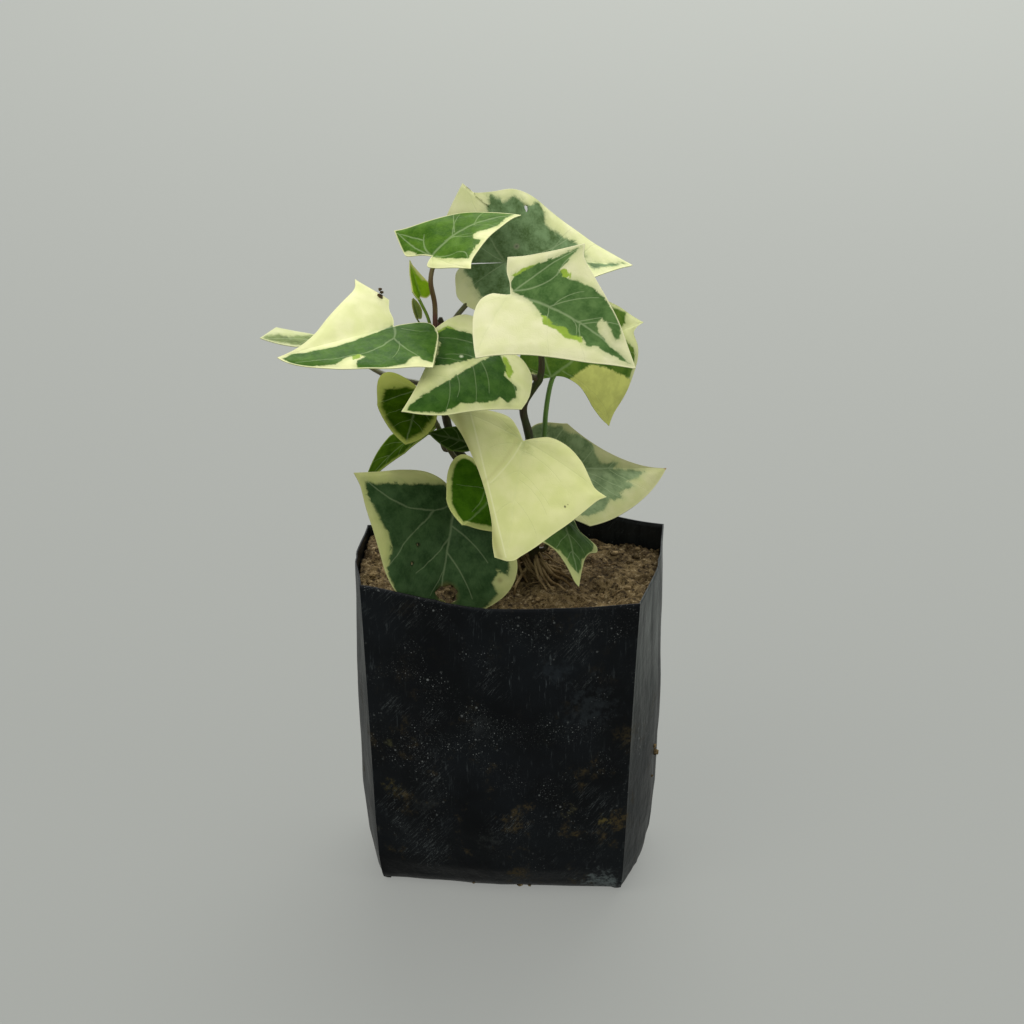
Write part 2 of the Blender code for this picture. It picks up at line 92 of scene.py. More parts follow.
# Each leaf: where its blade starts and how it is turned, its length, the tips of its lobes and the
# tops of its shoulders (left, right), how its margin bulges, how it folds, droops and twists, and
# the stem and height that its stalk joins. What an outline or the veins of its own make needless
# is left out.
LEAVES = {
    "leaf_top_front": dict(
        base=(-24, -8, 228), heading=41, pitch=26, roll=3, length=37.5, lobe=shares(1,53, 6,50),
        shoulder=shares(-10,17, -10,14), fold=(8, 3), droop=30, twist=3, joins=("stem_left", 203),
        via=[(-23.5, -6.5, 211), (-24.5, -9, 220)]),
    "leaf_top_back": dict(
        base=(-2, 14, 219), heading=9, pitch=0, roll=65, length=48, lobe=shares(-26,56, 14,48),
        shoulder=shares(-42,28, -31,23), fold=(-1, 25), droop=38, twist=-50,
        joins=("stem_left", 198), via=[(-15, 5, 206)]),
    "leaf_front_top": dict(
        base=(4, -34, 225), heading=-33, pitch=-12, roll=31, length=50, lobe=shares(22,52, 16,55),
        shoulder=shares(-14,19, -11,19), fold=(10, 8), droop=12, twist=2, joins=("stem_right", 201),
        via=[(9, -25, 212)]),
    "leaf_left": dict(
        base=(-36, -17, 206.5), heading=229, pitch=2, roll=-18, length=49.5, fold=(13, 16),
        droop=-2, twist=-12, joins=("stem_left", 188), via=[(-29, -11, 196)]),
    "leaf_centre": dict(
        base=(-2, -15, 198.5), heading=238, pitch=0, roll=-20, length=48, lobe=shares(22,46, 31,40),
        shoulder=shares(-11,27, -13,40), fold=(-19, 0), droop=17, twist=5,
        joins=("stem_right", 187), via=[(5, -12, 191), (1, -14.5, 195)]),
    "leaf_front_cream": dict(
        base=(7, -20, 169), heading=-93, pitch=-31, roll=-8, length=44, lobe=shares(33,67, -6,62),
        shoulder=shares(-5,35, -16,31), fold=(-10, 20), droop=21, twist=4, hinge=(-0.13, 0.48, 50),
        joins=("stem_right", 158), via=[(8, -12, 163)]),
    "leaf_low_dark": dict(
        base=(-17, -9, 141), heading=-100, pitch=-52, roll=-13, length=41.5, fold=(15, 23),
        droop=25, twist=-13, joins=("stem_left", 128), via=[(-10, -7, 134)]),
    "leaf_low_round": dict(
        base=(-1.5, -12, 148), heading=-121, pitch=-23, roll=-30, length=30,
        lobe=shares(38,36, 57,38), shoulder=shares(-13,22, -1,62), bulge=(-0.04, 0.02),
        fold=(-28, -3), droop=-45, twist=2, joins=("stem_left", 134), via=[(-2, -6, 141)]),
    "leaf_right": dict(
        base=(11, 8, 147), heading=38, pitch=-13, roll=53, length=54, lobe=shares(15,30, 16,47),
        shoulder=shares(-11,28, -9,30), bulge=(-0.06, 0.07), skew=(0.2, 0.0), fold=(32, 23),
        droop=-1, twist=3, joins=("stem_right", 128), via=[(10, 5, 137)]),
    "leaf_right_small": dict(
        base=(18.5, 2, 132.5), heading=-68, pitch=-33, roll=-31, length=28,
        lobe=shares(37,55, 47,49), shoulder=shares(-13,21, -13,22), fold=(-11, -1), droop=7,
        twist=1, joins=("stem_right", 118), via=[(14, 2, 124)]),
    "leaf_left_behind": dict(
        base=(-28.5, -9, 181), heading=-94, pitch=-18, roll=-15, length=31.5,
        lobe=shares(33,25, 35,40), shoulder=shares(-13,22, -13,44), bulge=(0.06, 0.04),
        fold=(-9, -4), droop=-13, twist=1, joins=("stem_left", 151),
        via=[(-19, -5, 158), (-24, -8.5, 171)]),
    "leaf_left_edge": dict(
        base=(-28, -2, 165), heading=200, pitch=-32, roll=5, length=29, lobe=shares(35,26, 39,37),
        shoulder=shares(-13,22, -13,22), bulge=(-0.03, 0.05), fold=(2, 7), droop=20, twist=-4,
        joins=("stem_left", 158), via=[(-23, -2, 162)]),
    "leaf_far_left": dict(
        base=(-64, 18, 187), heading=208, pitch=15, roll=0, length=24, lobe=shares(57,33, 63,39),
        shoulder=shares(-13,22, -13,20), bulge=(0.01, 0.0), fold=(5, 3), droop=6, twist=-7,
        joins=("stem_left", 178), via=[(-41, 5, 180.5), (-53, 12.5, 183.5)]),
    "leaf_behind_top": dict(
        base=(15, -4, 185.5), heading=39, pitch=26, roll=31, length=45, lobe=shares(24,50, 34,64),
        shoulder=shares(-13,22, 11,13), fold=(26, -31), curl=(0, -35), droop=34, twist=4,
        joins=("stem_right", 146), via=[(12, 0, 156), (13, 0, 172)]),
    "leaf_small_dark": dict(
        base=(-11, -11, 163.5), heading=184, pitch=16, roll=-50, length=15,
        lobe=shares(40,30, 40,30), shoulder=shares(5,22, 5,22), bulge=(0.03, 0.03), fold=(10, 10),
        droop=8, twist=0, joins=("stem_left", 148), via=[(-9, -7, 156)]),
    "leaf_young": dict(
        base=(-28, -8, 214), heading=135, pitch=60, roll=10, length=12.5, fold=(28, 28), droop=-10,
        twist=0, joins=("stem_left", 200), via=[(-26, -7, 207)]),
    "leaf_bud": dict(
        base=(-29.5, -3, 204.5), heading=125, pitch=58, roll=10, length=7,
        lobe=shares(30,30, 30,30), shoulder=shares(-2,20, -2,20), bulge=(0.08, 0.08), fold=(35, 35),
        droop=-10, twist=0, joins=("stem_left", 194), via=[(-27, -3, 199)]),
}
LEAF_DEFAULTS = dict(skew=(0.0, 0.0), curl=(0.0, 0.0), hinge=None)

# ---- finer outlines for the leaves seen best -----------------------------------------------------
# The margin of the left half, then of the right half, between the notch and the tip. A corner
# given twice stays sharp. A leaf without an outline here keeps the CAD's.
OUTLINES = {
    "leaf_top_front": (
        shares(-4,10, -12,21, -11,28, -5,42, 1,55, 1,55, 10,48, 27,40.5, 45,33, 62,25, 80,13.5),
        shares(-6,-2, -11,-7, -8,-18, -1,-32, 6,-50, 6,-50, 15,-40, 30,-31.5, 50,-21, 72,-10,
               88,-3)),
    "leaf_top_back": (
        shares(-15,0.4, -30,1, -40,8, -42,24, -36,38, -26.5,56, -26.5,56, -21,49.5, -8,49.5, 8,52,
               24,48, 42,38, 58,29, 74,20, 90,10),
        shares(-15,-0.4, -28,-1, -34.5,-6, -35,-16, -33,-25, -22,-34, -5,-42, 14,-48, 14,-48,
               34,-33, 55,-21, 75,-12, 90,-4.5)),
    "leaf_front_top": (
        shares(-6,7, -13,13, -19,22, -19,22, -8,28.5, 5,38.5, 21.5,53.5, 21.5,53.5, 27,45, 40,37.5,
               56,29, 72,20, 88,8.5),
        shares(-5,-3.5, -11,-5.5, -13.5,-14, -9,-26, 0,-38, 9,-48, 16,-54.8, 16,-54.8, 24,-46,
               38,-35, 55,-24.5, 75,-14, 90,-5)),
    "leaf_left": (
        shares(-8,0, -20,2, -25,10, -18,24, -6,37, 8,50, 19,60, 19,60, 28,51, 44,42, 60,33, 76,24,
               90,14, 97,6),
        shares(-4.5,-6, -7,-14, -13,-22, -13,-22, -7,-32, 1.5,-44, 1.5,-44, 8,-36.5, 25,-28.5,
               45,-19, 62,-10, 80,-3.5)),
    "leaf_centre": (
        shares(-10,5, -15.5,14, -12,27, 0,37, 10,42, 21,45.5, 21,45.5, 32,40, 46,33.5, 62,27,
               78,20, 90,11),
        shares(-10,-10, -20,-26, -15,-40, 0,-43, 15,-42, 31,-40, 31,-40, 42,-28, 52,-20, 64,-14,
               80,-7)),
    "leaf_front_cream": (
        shares(-5,9, -9,21, -4.5,35, 6,46, 18,53, 28,59, 33.5,68.5, 33.5,68.5, 38.5,62, 50,53,
               62,43, 74,31.5, 86,20, 94.5,10.5, 98.5,6),
        shares(-9,-5, -16.5,-13, -16.5,-26, -13,-42, -6,-63, -6,-63, 8,-50, 22,-40, 38,-30,
               55,-21.5, 72,-15.5, 88,-13, 98.5,-10, 98.5,-10)),
    "leaf_low_dark": (
        shares(4,10, 6,28, 14,42, 28,52, 42,59, 55,59, 67,54, 77,45, 86,33, 93,20, 98,9),
        shares(-9,-5, -16,-15, -18.5,-30, -14.5,-50, -8,-70, -2.5,-90, -2.5,-90, 6,-83, 20,-76.5,
               35,-68, 50,-60, 65,-52, 78,-41, 90,-25)),
    "leaf_right_small": (
        shares(-10,10, -4,27, 12,31, 19,46, 26,60, 36,57, 43,40, 55,25, 75,12),
        shares(-12,-12, -8,-24, 15,-36, 32,-42, 47,-51, 47,-51, 50,-38, 58,-25, 75,-14, 93,-6)),
    "leaf_behind_top": (
        shares(-12,8, -13,22, 5,36, 24,50, 24,50, 45,42, 66,32, 80,20, 90,9),
        shares(5,-3, 12,-11, 17.5,-25, 19,-40, 25,-55, 34,-66.5, 34,-66.5, 42,-58, 58,-47.5,
               70,-38, 80,-27, 84.5,-16, 84,-6, 90,-2)),
    "leaf_young": (
        shares(-8,16, 0,32, 16,46, 16,46, 36,33, 62,20, 84,6),
        shares(-8,-16, 0,-32, 16,-42, 40,-30, 66,-16, 86,-5)),
}

# ---- how each leaf is painted ------------------------------------------------------------------
# green and lime: the patches of that colour; without green, a leaf is green up to a cream margin
# of the given share. deep and fresh: the two greens that mottle, limes: the lime, cream: the pale
# colour. jag: how torn a border is, soft: how blurred, in mm. midrib: how far it bows.
# veins: (from, to, bow, width in mm), added to the nine that every leaf has, of which lobes=False
# keeps only the midrib; veined: how much they show. marks_and_fold_light: pale or dark lines,
# (from, to, bow, width in mm, colour); on the cream leaf, a painted highlight along the fold's
# ridge and painted shade on the folded strip. spots: (place, radius in mm, colour). holes: (place,
# radii). rim: whether the very edge is cream. gloss: the skin's shine.
PAINT = {
    "leaf_top_front": dict(
        deep=(50, 86, 14), fresh=(82, 118, 30), cream=(226, 226, 170), jag=0.5, midrib=0.07,
        green=[shares(-2,62, -13,28, -8,24, -5,12, 0,2, 0,-6, 4,-16, 9,-28, 14,-37, 22,-32, 38,-22,
                      35,-17, 42,-8, 56,-11, 70,-8, 86,1, 100,3, 90,30, 30,60)],
        veins=[((0, 0), (0.09, 0.23), 0.02, 0.5), ((0.09, 0.23), (0.0, 0.5), 0, 0.4),
               ((0.09, 0.23), (0.14, 0.28), 0, 0.3), ((0.33, 0.09), (0.48, 0.3), 0, 0.35),
               ((0.02, -0.04), (0.15, -0.18), -0.03, 0.4),
               ((0.15, -0.18), (0.13, -0.36), 0.04, 0.35),
               ((0.2, 0.06), (0.42, -0.06), 0.02, 0.3)]),
    "leaf_top_back": dict(
        deep=(73, 97, 52), fresh=(119, 145, 99), cream=(226, 226, 174), veined=0.4, jag=0.8,
        soft=0.8, rim=False,
        green=[shares(-10,47, 0,43, 8,48, 17,40, 28,46, 31,36, 31,29, 40,22, 55,16, 60,5, 45,-12,
                      30,-26, 10,-36, -8,-34, -17,-26, -24,-12, -30,0, -25,20, -12,30),
               shares(57,0, 75,-2, 92,1, 76,-7, 60,-12)],
        veins=[((-0.1, 0), (0.5, 0.2), -0.05, 0.5)],
        spots=[((0.08, 0.11), 1.0, (150, 150, 120)), ((0.08, 0.11), 0.55, (92, 104, 78))],
        holes=[((0.165, 0.385), (0.016, 0.03))]),
    "leaf_front_top": dict(
        deep=(56, 88, 38), fresh=(90, 120, 64), cream=(220, 218, 173), jag=0.5, midrib=0.06,
        veined=0.7,
        green=[shares(-5,5, -6,12, 0,22, 5,29, 12,38, 20,50, 20,40, 18,30, 24,26, 33,29, 46,30,
                      56,28, 66,24, 74,19, 80,11, 78,8, 70,13, 62,16, 61,11, 66,7, 78,3, 95,0.5,
                      82,-2, 72,-2, 66,-6, 59,-2, 53,-5, 47,-2, 38,-5, 31,-2, 26,-3, 20,1, 10,3,
                      2,2)],
        lime=[shares(28,-3, 34,-9, 42,-7, 52,-9, 58,-6, 63,-7, 58,0, 40,0),
              shares(18.5,28, 20,32, 26,31.5, 29,28, 24,26),
              shares(-8,10, -4,20, 4,27, 0,15)],
        veins=[((0.0, 0.03), (0.19, 0.26), -0.03, 0.5), ((0.19, 0.26), (0.22, 0.5), 0.02, 0.35),
               ((0.3, 0.07), (0.42, 0.25), 0.02, 0.25),
               ((0.45, 0.06), (0.55, -0.03), 0.02, 0.25), ((0.5, 0.06), (0.62, 0.16), 0, 0.25)],
        spots=[((0.37, -0.26), 0.35, (214, 210, 160))]),
    "leaf_left": dict(
        deep=(42, 80, 10), fresh=(72, 108, 28), cream=(232, 231, 176), jag=0.35, lobes=False,
        green=[shares(-30,-1, -24,14, -12,31, 0,42, 10,51, 15.5,56, 19,50, 17,44, 22,43, 30,46,
                      40,42, 52,39, 60,33, 56,27, 46,25, 47,20, 60,21, 70,23, 86,17, 96,10, 97,2,
                      86,0, 80,3, 60,5.5, 40,5, 20,2, 0,-1)],
        lime=[shares(42,17, 50,25, 58,25, 52,18)],
        veins=[((0, 0), (0.12, 0.14), 0.01, 0.65), ((0.12, 0.14), (0.17, 0.46), -0.02, 0.55),
               ((0.12, 0.14), (0.45, 0.2), 0.02, 0.5), ((0.45, 0.2), (0.92, 0.09), 0.03, 0.3),
               ((-0.02, 0.06), (-0.14, 0.2), -0.02, 0.3),
               ((0.13, 0.2), (0.33, 0.36), 0.02, 0.3)],
        spots=[((0.22, -0.33), 0.3, (200, 190, 130))]),
    "leaf_centre": dict(
        deep=(36, 70, 14), fresh=(62, 96, 32), cream=(216, 217, 160), jag=0.5, veined=0.35,
        green=[shares(0,2, 5,14, 13,20, 10,30, 18,36, 28,37, 30,31, 38,31, 50,26, 58,23, 62,20,
                      70,20, 80,17, 90,9, 97,2, 90,0, 70,1, 30,2),
               shares(16,-1, 26,-3.5, 46,-10, 51,-14, 42,-20, 30,-27, 24,-36, 12,-37, 8,-29, 2,-22,
                      8,-10)],
        lime=[shares(-2,5, 2,20, 10,22, 8,10),
              shares(8,-28, 10,-38, 24,-38, 26,-32)],
        veins=[((0.2, 0.0), (0.35, 0.24), 0.02, 0.35), ((0.45, 0.0), (0.6, 0.15), 0.02, 0.3),
               ((0.2, 0.0), (0.36, -0.17), -0.02, 0.35)],
        spots=[((0.29, -0.09), 0.75, (196, 204, 168))]),
    "leaf_front_cream": dict(
        deep=(180, 184, 112), fresh=(190, 194, 122), cream=(222, 222, 158), jag=1.5, soft=3.0,
        green=[shares(2,-4, -2,-12, -8,-10, 0,2, 6,2)],
        # a painted highlight along the ridge of the fold and painted shade on the folded strip
        # beyond it; then a pale line with a darker band beside it
        marks_and_fold_light=[((-0.13, -0.47), (0.97, -0.005), 0.0, 0.3, (240, 238, 190)),
               ((-0.1, -0.56), (0.97, -0.06), 0.0, 2.3, (160, 157, 84)),
               ((0.02, -0.01), (0.44, -0.21), 0.02, 0.4, (232, 231, 178)),
               ((0.0, -0.05), (0.44, -0.25), 0.02, 1.0, (202, 201, 134))],
        veins=[((0.1, 0.0), (0.3, 0.32), 0.03, 0.3), ((0.35, 0.0), (0.6, 0.25), 0.03, 0.25),
               ((0.05, -0.02), (0.2, -0.28), -0.03, 0.3)],
        spots=[((0.5, 0.38), 0.42, (64, 60, 40)), ((0.48, 0.4), 0.2, (120, 110, 70))]),
    "leaf_low_dark": dict(
        deep=(35, 59, 27), fresh=(60, 84, 48), cream=(184, 186, 124), jag=0.6, soft=0.6,
        veined=0.3, lobes=False,
        green=[shares(-12,-12, -7,-30, -3,-50, 1,-70, 2,-80, 10,-78, 24,-66, 34,-56, 48,-50,
                      62,-52, 74,-45, 110,-30, 110,20, 86,30, 80,40, 68,48, 60,42, 50,44, 52,53,
                      40,52, 20,40, 5,30, 0,0)],
        veins=[((0.02, -0.02), (0.11, -0.18), 0.01, 0.55),
               ((0.11, -0.18), (0.32, -0.33), 0.01, 0.5),
               ((0.32, -0.33), (0.58, -0.5), 0.0, 0.4),
               ((0.11, -0.18), (0.13, -0.42), 0.01, 0.5),
               ((0.13, -0.42), (0.0, -0.8), 0.02, 0.4), ((0.3, 0.0), (0.62, -0.25), 0.02, 0.4),
               ((0.42, 0.0), (0.76, 0.27), 0.02, 0.4), ((0.2, 0.0), (0.45, 0.35), 0.02, 0.4),
               ((0.55, 0.0), (0.78, -0.1), 0.01, 0.3)],
        spots=[((0.755, 0.055), 3.8, (116, 92, 50)), ((0.4, -0.27), 0.95, (34, 34, 20)),
               ((0.55, -0.3), 0.95, (34, 34, 20)), ((0.57, 0.47), 1.2, (150, 150, 96))],
        holes=[((0.755, 0.055), (0.07, 0.092)), ((0.4, -0.27), (0.012, 0.012)),
               ((0.55, -0.3), (0.014, 0.011))]),
    "leaf_low_round": dict(
        gloss=0.0, deep=(40, 72, 10), fresh=(58, 92, 16), cream=(190, 194, 122), jag=0.3, soft=0.5,
        margin=0.055, veined=0.15, lobes=False,
        veins=[((0.05, -0.15), (0.55, -0.05), 0.03, 0.4), ((0.1, -0.1), (0.3, -0.4), 0.0, 0.3)]),
    "leaf_right": dict(
        deep=(84, 104, 64), fresh=(124, 142, 98), cream=(182, 181, 132), soft=0.7, veined=0.4,
        green=[shares(-12,30, 10,28, 20,23, 35,20, 40,10, 46,4, 60,4.5, 57,0, 80,-2.5, 74,-8,
                      62,-12, 66,-16, 50,-20, 54,-25, 40,-27, 30,-36, 18,-40, 0,-32, -10,-10)],
        veins=[((0.3, 0.0), (0.6, -0.2), 0, 0.3)],
        spots=[((0.99, 0.0), 0.9, (140, 110, 70))]),
    "leaf_right_small": dict(
        gloss=0.02, deep=(54, 82, 34), fresh=(80, 108, 54), cream=(190, 194, 130), jag=0.5,
        soft=0.4, margin=0.06, veined=0.4,
        green=[shares(25,53, 34,50, 42,40, 55,25, 60,15, 74,10, 82,2, 76,-5, 66,-12, 56,-22,
                      48,-42, 40,-42, 0,-22, -5,0, 0,25)]),
    "leaf_left_behind": dict(
        gloss=0.0, deep=(26, 48, 2), fresh=(50, 74, 8), cream=(150, 156, 78), jag=0.5, soft=0.9,
        veined=0.12,
        green=[shares(0,2, 0,-15, 5,-25, 10,-36, 22,-37, 40,-35, 70,-20, 90,-4, 94,0, 70,12, 40,20,
                      0,20)],
        veins=[((0.05, -0.05), (0.4, 0.15), 0, 0.3)]),
    "leaf_left_edge": dict(
        gloss=0.0, deep=(33, 55, 6), fresh=(56, 80, 14), cream=(120, 134, 60), jag=0.4, soft=0.8,
        margin=0.02, veined=0.1),
    "leaf_far_left": dict(
        deep=(88, 104, 54), fresh=(122, 138, 78), cream=(206, 208, 160), jag=0.6, soft=0.9,
        green=[shares(-15,10, 10,25, 55,28, 90,6, 95,0, 90,-6, 70,-12, 62,-6, 45,-8, 32,-15,
                      10,-20, -10,-12)]),
    "leaf_behind_top": dict(
        deep=(58, 92, 24), fresh=(92, 120, 40), cream=(218, 220, 160), jag=0.6, soft=0.5,
        veined=0.3, limes=(206, 210, 112), rim=False,
        green=[shares(-20,30, 30,42, 70,24, 86,12, 80,5, 72,2, 70,-5, 76,-12, 78,-22, 66,-36,
                      52,-26, 42,-16, 30,-10, 10,-10, 0,-6)],
        lime=[shares(0,-5, 22,-5, 45,-15, 68,-38, 50,-75, 20,-80, -10,-30)],
        veins=[((0.1, -0.02), (0.34, -0.6), 0.02, 0.35)]),
    "leaf_small_dark": dict(
        gloss=0.0, deep=(28, 46, 12), fresh=(44, 66, 18), cream=(84, 104, 48), jag=0.4, soft=0.5,
        margin=0.0, veined=0.1),
    "leaf_young": dict(
        deep=(96, 140, 12), fresh=(134, 172, 28), cream=(206, 206, 130), jag=0.3, soft=0.5,
        veined=0.1, lobes=False,
        green=[shares(-30,-40, -30,40, 60,50, 92,5, 70,-5, 40,-20, 30,-50)]),
    "leaf_bud": dict(
        deep=(80, 94, 36), fresh=(106, 122, 54), cream=(140, 140, 80), jag=0.3, soft=0.5,
        margin=0.0, veined=0.1, lobes=False),
}
PAINT_DEFAULTS = dict(jag=0.7, soft=0.35, margin=0.05, midrib=0.0, green=[], lime=[], veins=[],
                      spots=[], holes=[], marks_and_fold_light=[], lobes=True, limes=(148, 176, 62), rim=True,
                      veined=0.6, gloss=0.05)


# ---- general tools -----------------------------------------------------------------------------
def tint(colour):
    """A linear colour from one given in the usual 0 to 255."""
    c = np.array(colour, float) / 255.0
    return tuple(float(v) for v in np.where(c <= 0.04045, c / 12.92, ((c + 0.055) / 1.055) ** 2.4))


def ease(value, low, high):
    t = np.clip((np.asarray(value, float) - low) / (high - low), 0.0, 1.0)
    return t * t * (3 - 2 * t)


RIPPLE_CELLS = 61


def ripple(x, y, seed):
    """Smooth value noise from -1 to 1, one lump to a unit, the same on every run."""
    table = np.random.RandomState(seed).uniform(-1, 1, (RIPPLE_CELLS, RIPPLE_CELLS))
    x, y = np.asarray(x, float), np.asarray(y, float)
    i, j = np.floor(x).astype(int), np.floor(y).astype(int)
    s, t = x - i, y - j
    s, t = s * s * (3 - 2 * s), t * t * (3 - 2 * t)
    i0, j0, i1, j1 = (k % RIPPLE_CELLS for k in (i, j, i + 1, j + 1))
    return ((table[i0, j0] * (1 - s) + table[i1, j0] * s) * (1 - t)
            + (table[i0, j1] * (1 - s) + table[i1, j1] * s) * t)


def bezier(p0, p1, p2, p3, steps):
    t = np.linspace(0.0, 1.0, steps + 1)[:, None]
    return (1 - t)**3 * p0 + 3 * (1 - t)**2 * t * p1 + 3 * (1 - t) * t * t * p2 + t**3 * p3


def smooth_route(points, steps):
    """A Catmull-Rom curve through the points."""
    p = np.asarray(points, float)
    p = np.vstack([2 * p[0] - p[1], p, 2 * p[-1] - p[-2]])
    out = []
    for a, b, c, d in zip(p[:-3], p[1:-2], p[2:-1], p[3:]):
        for t in np.arange(steps) / steps:
            out.append(0.5 * (2 * b + (c - a) * t + (2 * a - 5 * b + 4 * c - d) * t * t
                              + (3 * b - a - 3 * c + d) * t**3))
    return np.array(out + [p[-2]])


def path_length(path):
    """How far along a path each of its points lies."""
    return np.concatenate([[0], np.cumsum(np.linalg.norm(np.diff(path, axis=0), axis=1))])


def band_faces(rings, count):
    """The four-cornered faces between rings of points that follow one another."""
    return [(i * count + k, i * count + (k + 1) % count, (i + 1) * count + (k + 1) % count,
             (i + 1) * count + k) for i in range(rings - 1) for k in range(count)]


def tube_parts(route, radii, sides):
    """Points and faces of a closed tube with its own radius at each point of the route."""
    route, radii = np.asarray(route, float), np.asarray(radii, float)
    ahead = np.gradient(route, axis=0)
    ahead /= np.linalg.norm(ahead, axis=1)[:, None]
    side = np.cross(ahead[0], (0.0, 1.0, 0.0) if abs(ahead[0][1]) < 0.9 else (1.0, 0.0, 0.0))
    points = []
    for i in range(len(route)):
        side = side - ahead[i] * (side @ ahead[i])
        side /= np.linalg.norm(side)
        up = np.cross(ahead[i], side)
        for k in range(sides):
            a = 2 * math.pi * k / sides
            points.append(route[i] + radii[i] * (side * math.cos(a) + up * math.sin(a)))
    last = (len(route) - 1) * sides
    caps = [tuple(range(sides))[::-1], tuple(last + k for k in range(sides))]
    return np.array(points), band_faces(len(route), sides) + caps


def ridged_tube(route, radii, sides, ridges):
    """A tube swollen by ridges(angle, share of the way along), and the angle of each point."""
    points, faces = tube_parts(route, radii, sides)
    angle = np.tile(np.arange(sides) / sides * 2 * math.pi, len(route))
    share = np.repeat(np.linspace(0, 1, len(route)), sides)
    centre = np.repeat(route, sides, 0)
    return centre + (points - centre) * ridges(angle, share)[:, None], faces, angle


def clump(centre, size, rng):
    """A small irregular closed lump."""
    work = bmesh.new()
    bmesh.ops.create_icosphere(work, subdivisions=1 if size < 0.9 else 2, radius=1.0)
    raw = np.array([v.co[:] for v in work.verts])
    faces = [tuple(v.index for v in f.verts) for f in work.faces]
    work.free()
    stretch = rng.uniform(0.6, 1.25, 3) * (1, 1, 0.8)
    knobs = 1 + 0.22 * np.sin(raw @ rng.uniform(-5, 5, 3) + rng.uniform(0, 6))
    knobs += 0.15 * np.sin(raw @ rng.uniform(-9, 9, 3))
    return np.array(centre) + raw * knobs[:, None] * stretch * size, faces


class Shape:
    """Collects closed bodies into one mesh, with what the materials need at each point."""

    def __init__(self):
        self.points, self.faces, self.slots, self.place, self.paint = [], [], [], [], []
        self.count = 0

    def add(self, points, faces, slot=0, place=None, paint=(0.0, 0.0, 0.0)):
        """Adds a body. place is where its skin's pattern is read, its own points unless given."""
        points = np.asarray(points, float)
        self.points.append(points)
        self.place.append(points if place is None else np.asarray(place, float))
        self.paint.append(np.broadcast_to(np.asarray(paint, float), points.shape))
        self.faces += [tuple(v + self.count for v in f) for f in faces]
        self.slots += [slot] * len(faces)
        self.count += len(points)

    def build(self, name, materials):
        mesh = bpy.data.meshes.new(name)
        mesh.from_pydata((np.vstack(self.points) * MM).tolist(), [], self.faces)
        mesh.polygons.foreach_set("material_index", self.slots)
        work = bmesh.new()
        work.from_mesh(mesh)
        bmesh.ops.recalc_face_normals(work, faces=work.faces)
        work.to_mesh(mesh)
        work.free()
        for key, values in (("place", self.place), ("paint", self.paint)):
            layer = mesh.attributes.new(key, "FLOAT_VECTOR", "POINT")
            layer.data.foreach_set("vector", np.vstack(values).ravel())
        mesh.polygons.foreach_set("use_smooth", [True] * len(mesh.polygons))
        for material in materials:
            mesh.materials.append(material)
        return show(bpy.data.objects.new(name, mesh))


def show(obj):
    bpy.context.scene.collection.objects.link(obj)
    return obj


# ---- materials ---------------------------------------------------------------------------------
class Wire:
    """A shader value. Sums and products of wires are Math nodes, so materials read as formulas."""

    def __init__(self, nodes, socket):
        self.nodes, self.socket = nodes, socket

    def __add__(self, other):
        return self.nodes.math("ADD", self, other)

    def __sub__(self, other):
        return self.nodes.math("SUBTRACT", self, other)

    def __rsub__(self, other):
        return self.nodes.math("SUBTRACT", other, self)

    def __mul__(self, other):
        return self.nodes.math("MULTIPLY", self, other)

    def __truediv__(self, other):
        return self.nodes.math("DIVIDE", self, other)


class Nodes:
    """Short names for the shader nodes that the materials use."""

    def __init__(self, tree):
        self.tree = tree

    def put(self, socket, value):
        if isinstance(value, Wire):
            self.tree.links.new(value.socket, socket)
            return
        if socket.type == "RGBA" and len(value) == 3:
            value = (*value, 1.0)
        socket.default_value = value

    def add(self, kind, inputs=(), **settings):
        node = self.tree.nodes.new(kind)
        for key, value in settings.items():
            setattr(node, key, value)
        for key, value in dict(inputs).items():
            self.put(node.inputs[key], value)
        return node

    def out(self, kind, inputs, output=0, **settings):
        """The wire out of a new node."""
        return Wire(self, self.add(kind, inputs, **settings).outputs[output])

    def math(self, operation, a, b=0.0, clamp=False):
        return self.out("ShaderNodeMath", {0: a, 1: b}, operation=operation, use_clamp=clamp)

    def vector(self, operation, a, b=(0.0, 0.0, 0.0)):
        output = "Value" if operation in ("DOT_PRODUCT", "LENGTH") else "Vector"
        return self.out("ShaderNodeVectorMath", {0: a, 1: b}, output, operation=operation)

    def scaled(self, vector, factors):
        return self.vector("MULTIPLY", vector, factors)

    def range(self, value, low, high, start=0.0, end=1.0):
        """Start to end, eased, as the value goes from low to high."""
        return self.out("ShaderNodeMapRange", {"Value": value, "From Min": low, "From Max": high,
                                               "To Min": start, "To Max": end}, "Result",
                        interpolation_type="SMOOTHSTEP")

    def mix(self, factor, a, b):
        node = self.add("ShaderNodeMix", {"Factor": factor}, data_type="RGBA")
        for socket, colour in zip([s for s in node.inputs if s.type == "RGBA"], (a, b)):
            self.put(socket, colour)
        return Wire(self, [s for s in node.outputs if s.type == "RGBA"][0])

    def over(self, colour, amount, shade):
        """The colour with an amount of a flat shade, given from 0 to 255, laid over it."""
        return self.mix(amount, colour, tint(shade))

    def noise(self, place, scale, detail=3.0, rough=0.55):
        return self.out("ShaderNodeTexNoise", {"Vector": place, "Scale": scale, "Detail": detail,
                                               "Roughness": rough})

    def cells(self, place, scale, feature="F1", output="Distance"):
        return self.out("ShaderNodeTexVoronoi", {"Vector": place, "Scale": scale}, output,
                        feature=feature)

    def cell_pick(self, place, scale):
        """A value that changes at random from one cell to the next."""
        return self.split(self.cells(place, scale, output="Color"))[0]

    def split(self, vector):
        return [Wire(self, s) for s in self.add("ShaderNodeSeparateXYZ", {0: vector}).outputs]

    def join(self, x, y):
        return self.out("ShaderNodeCombineXYZ", {0: x, 1: y})

    def attribute(self, name):
        return self.out("ShaderNodeAttribute", {}, "Vector", attribute_name=name)


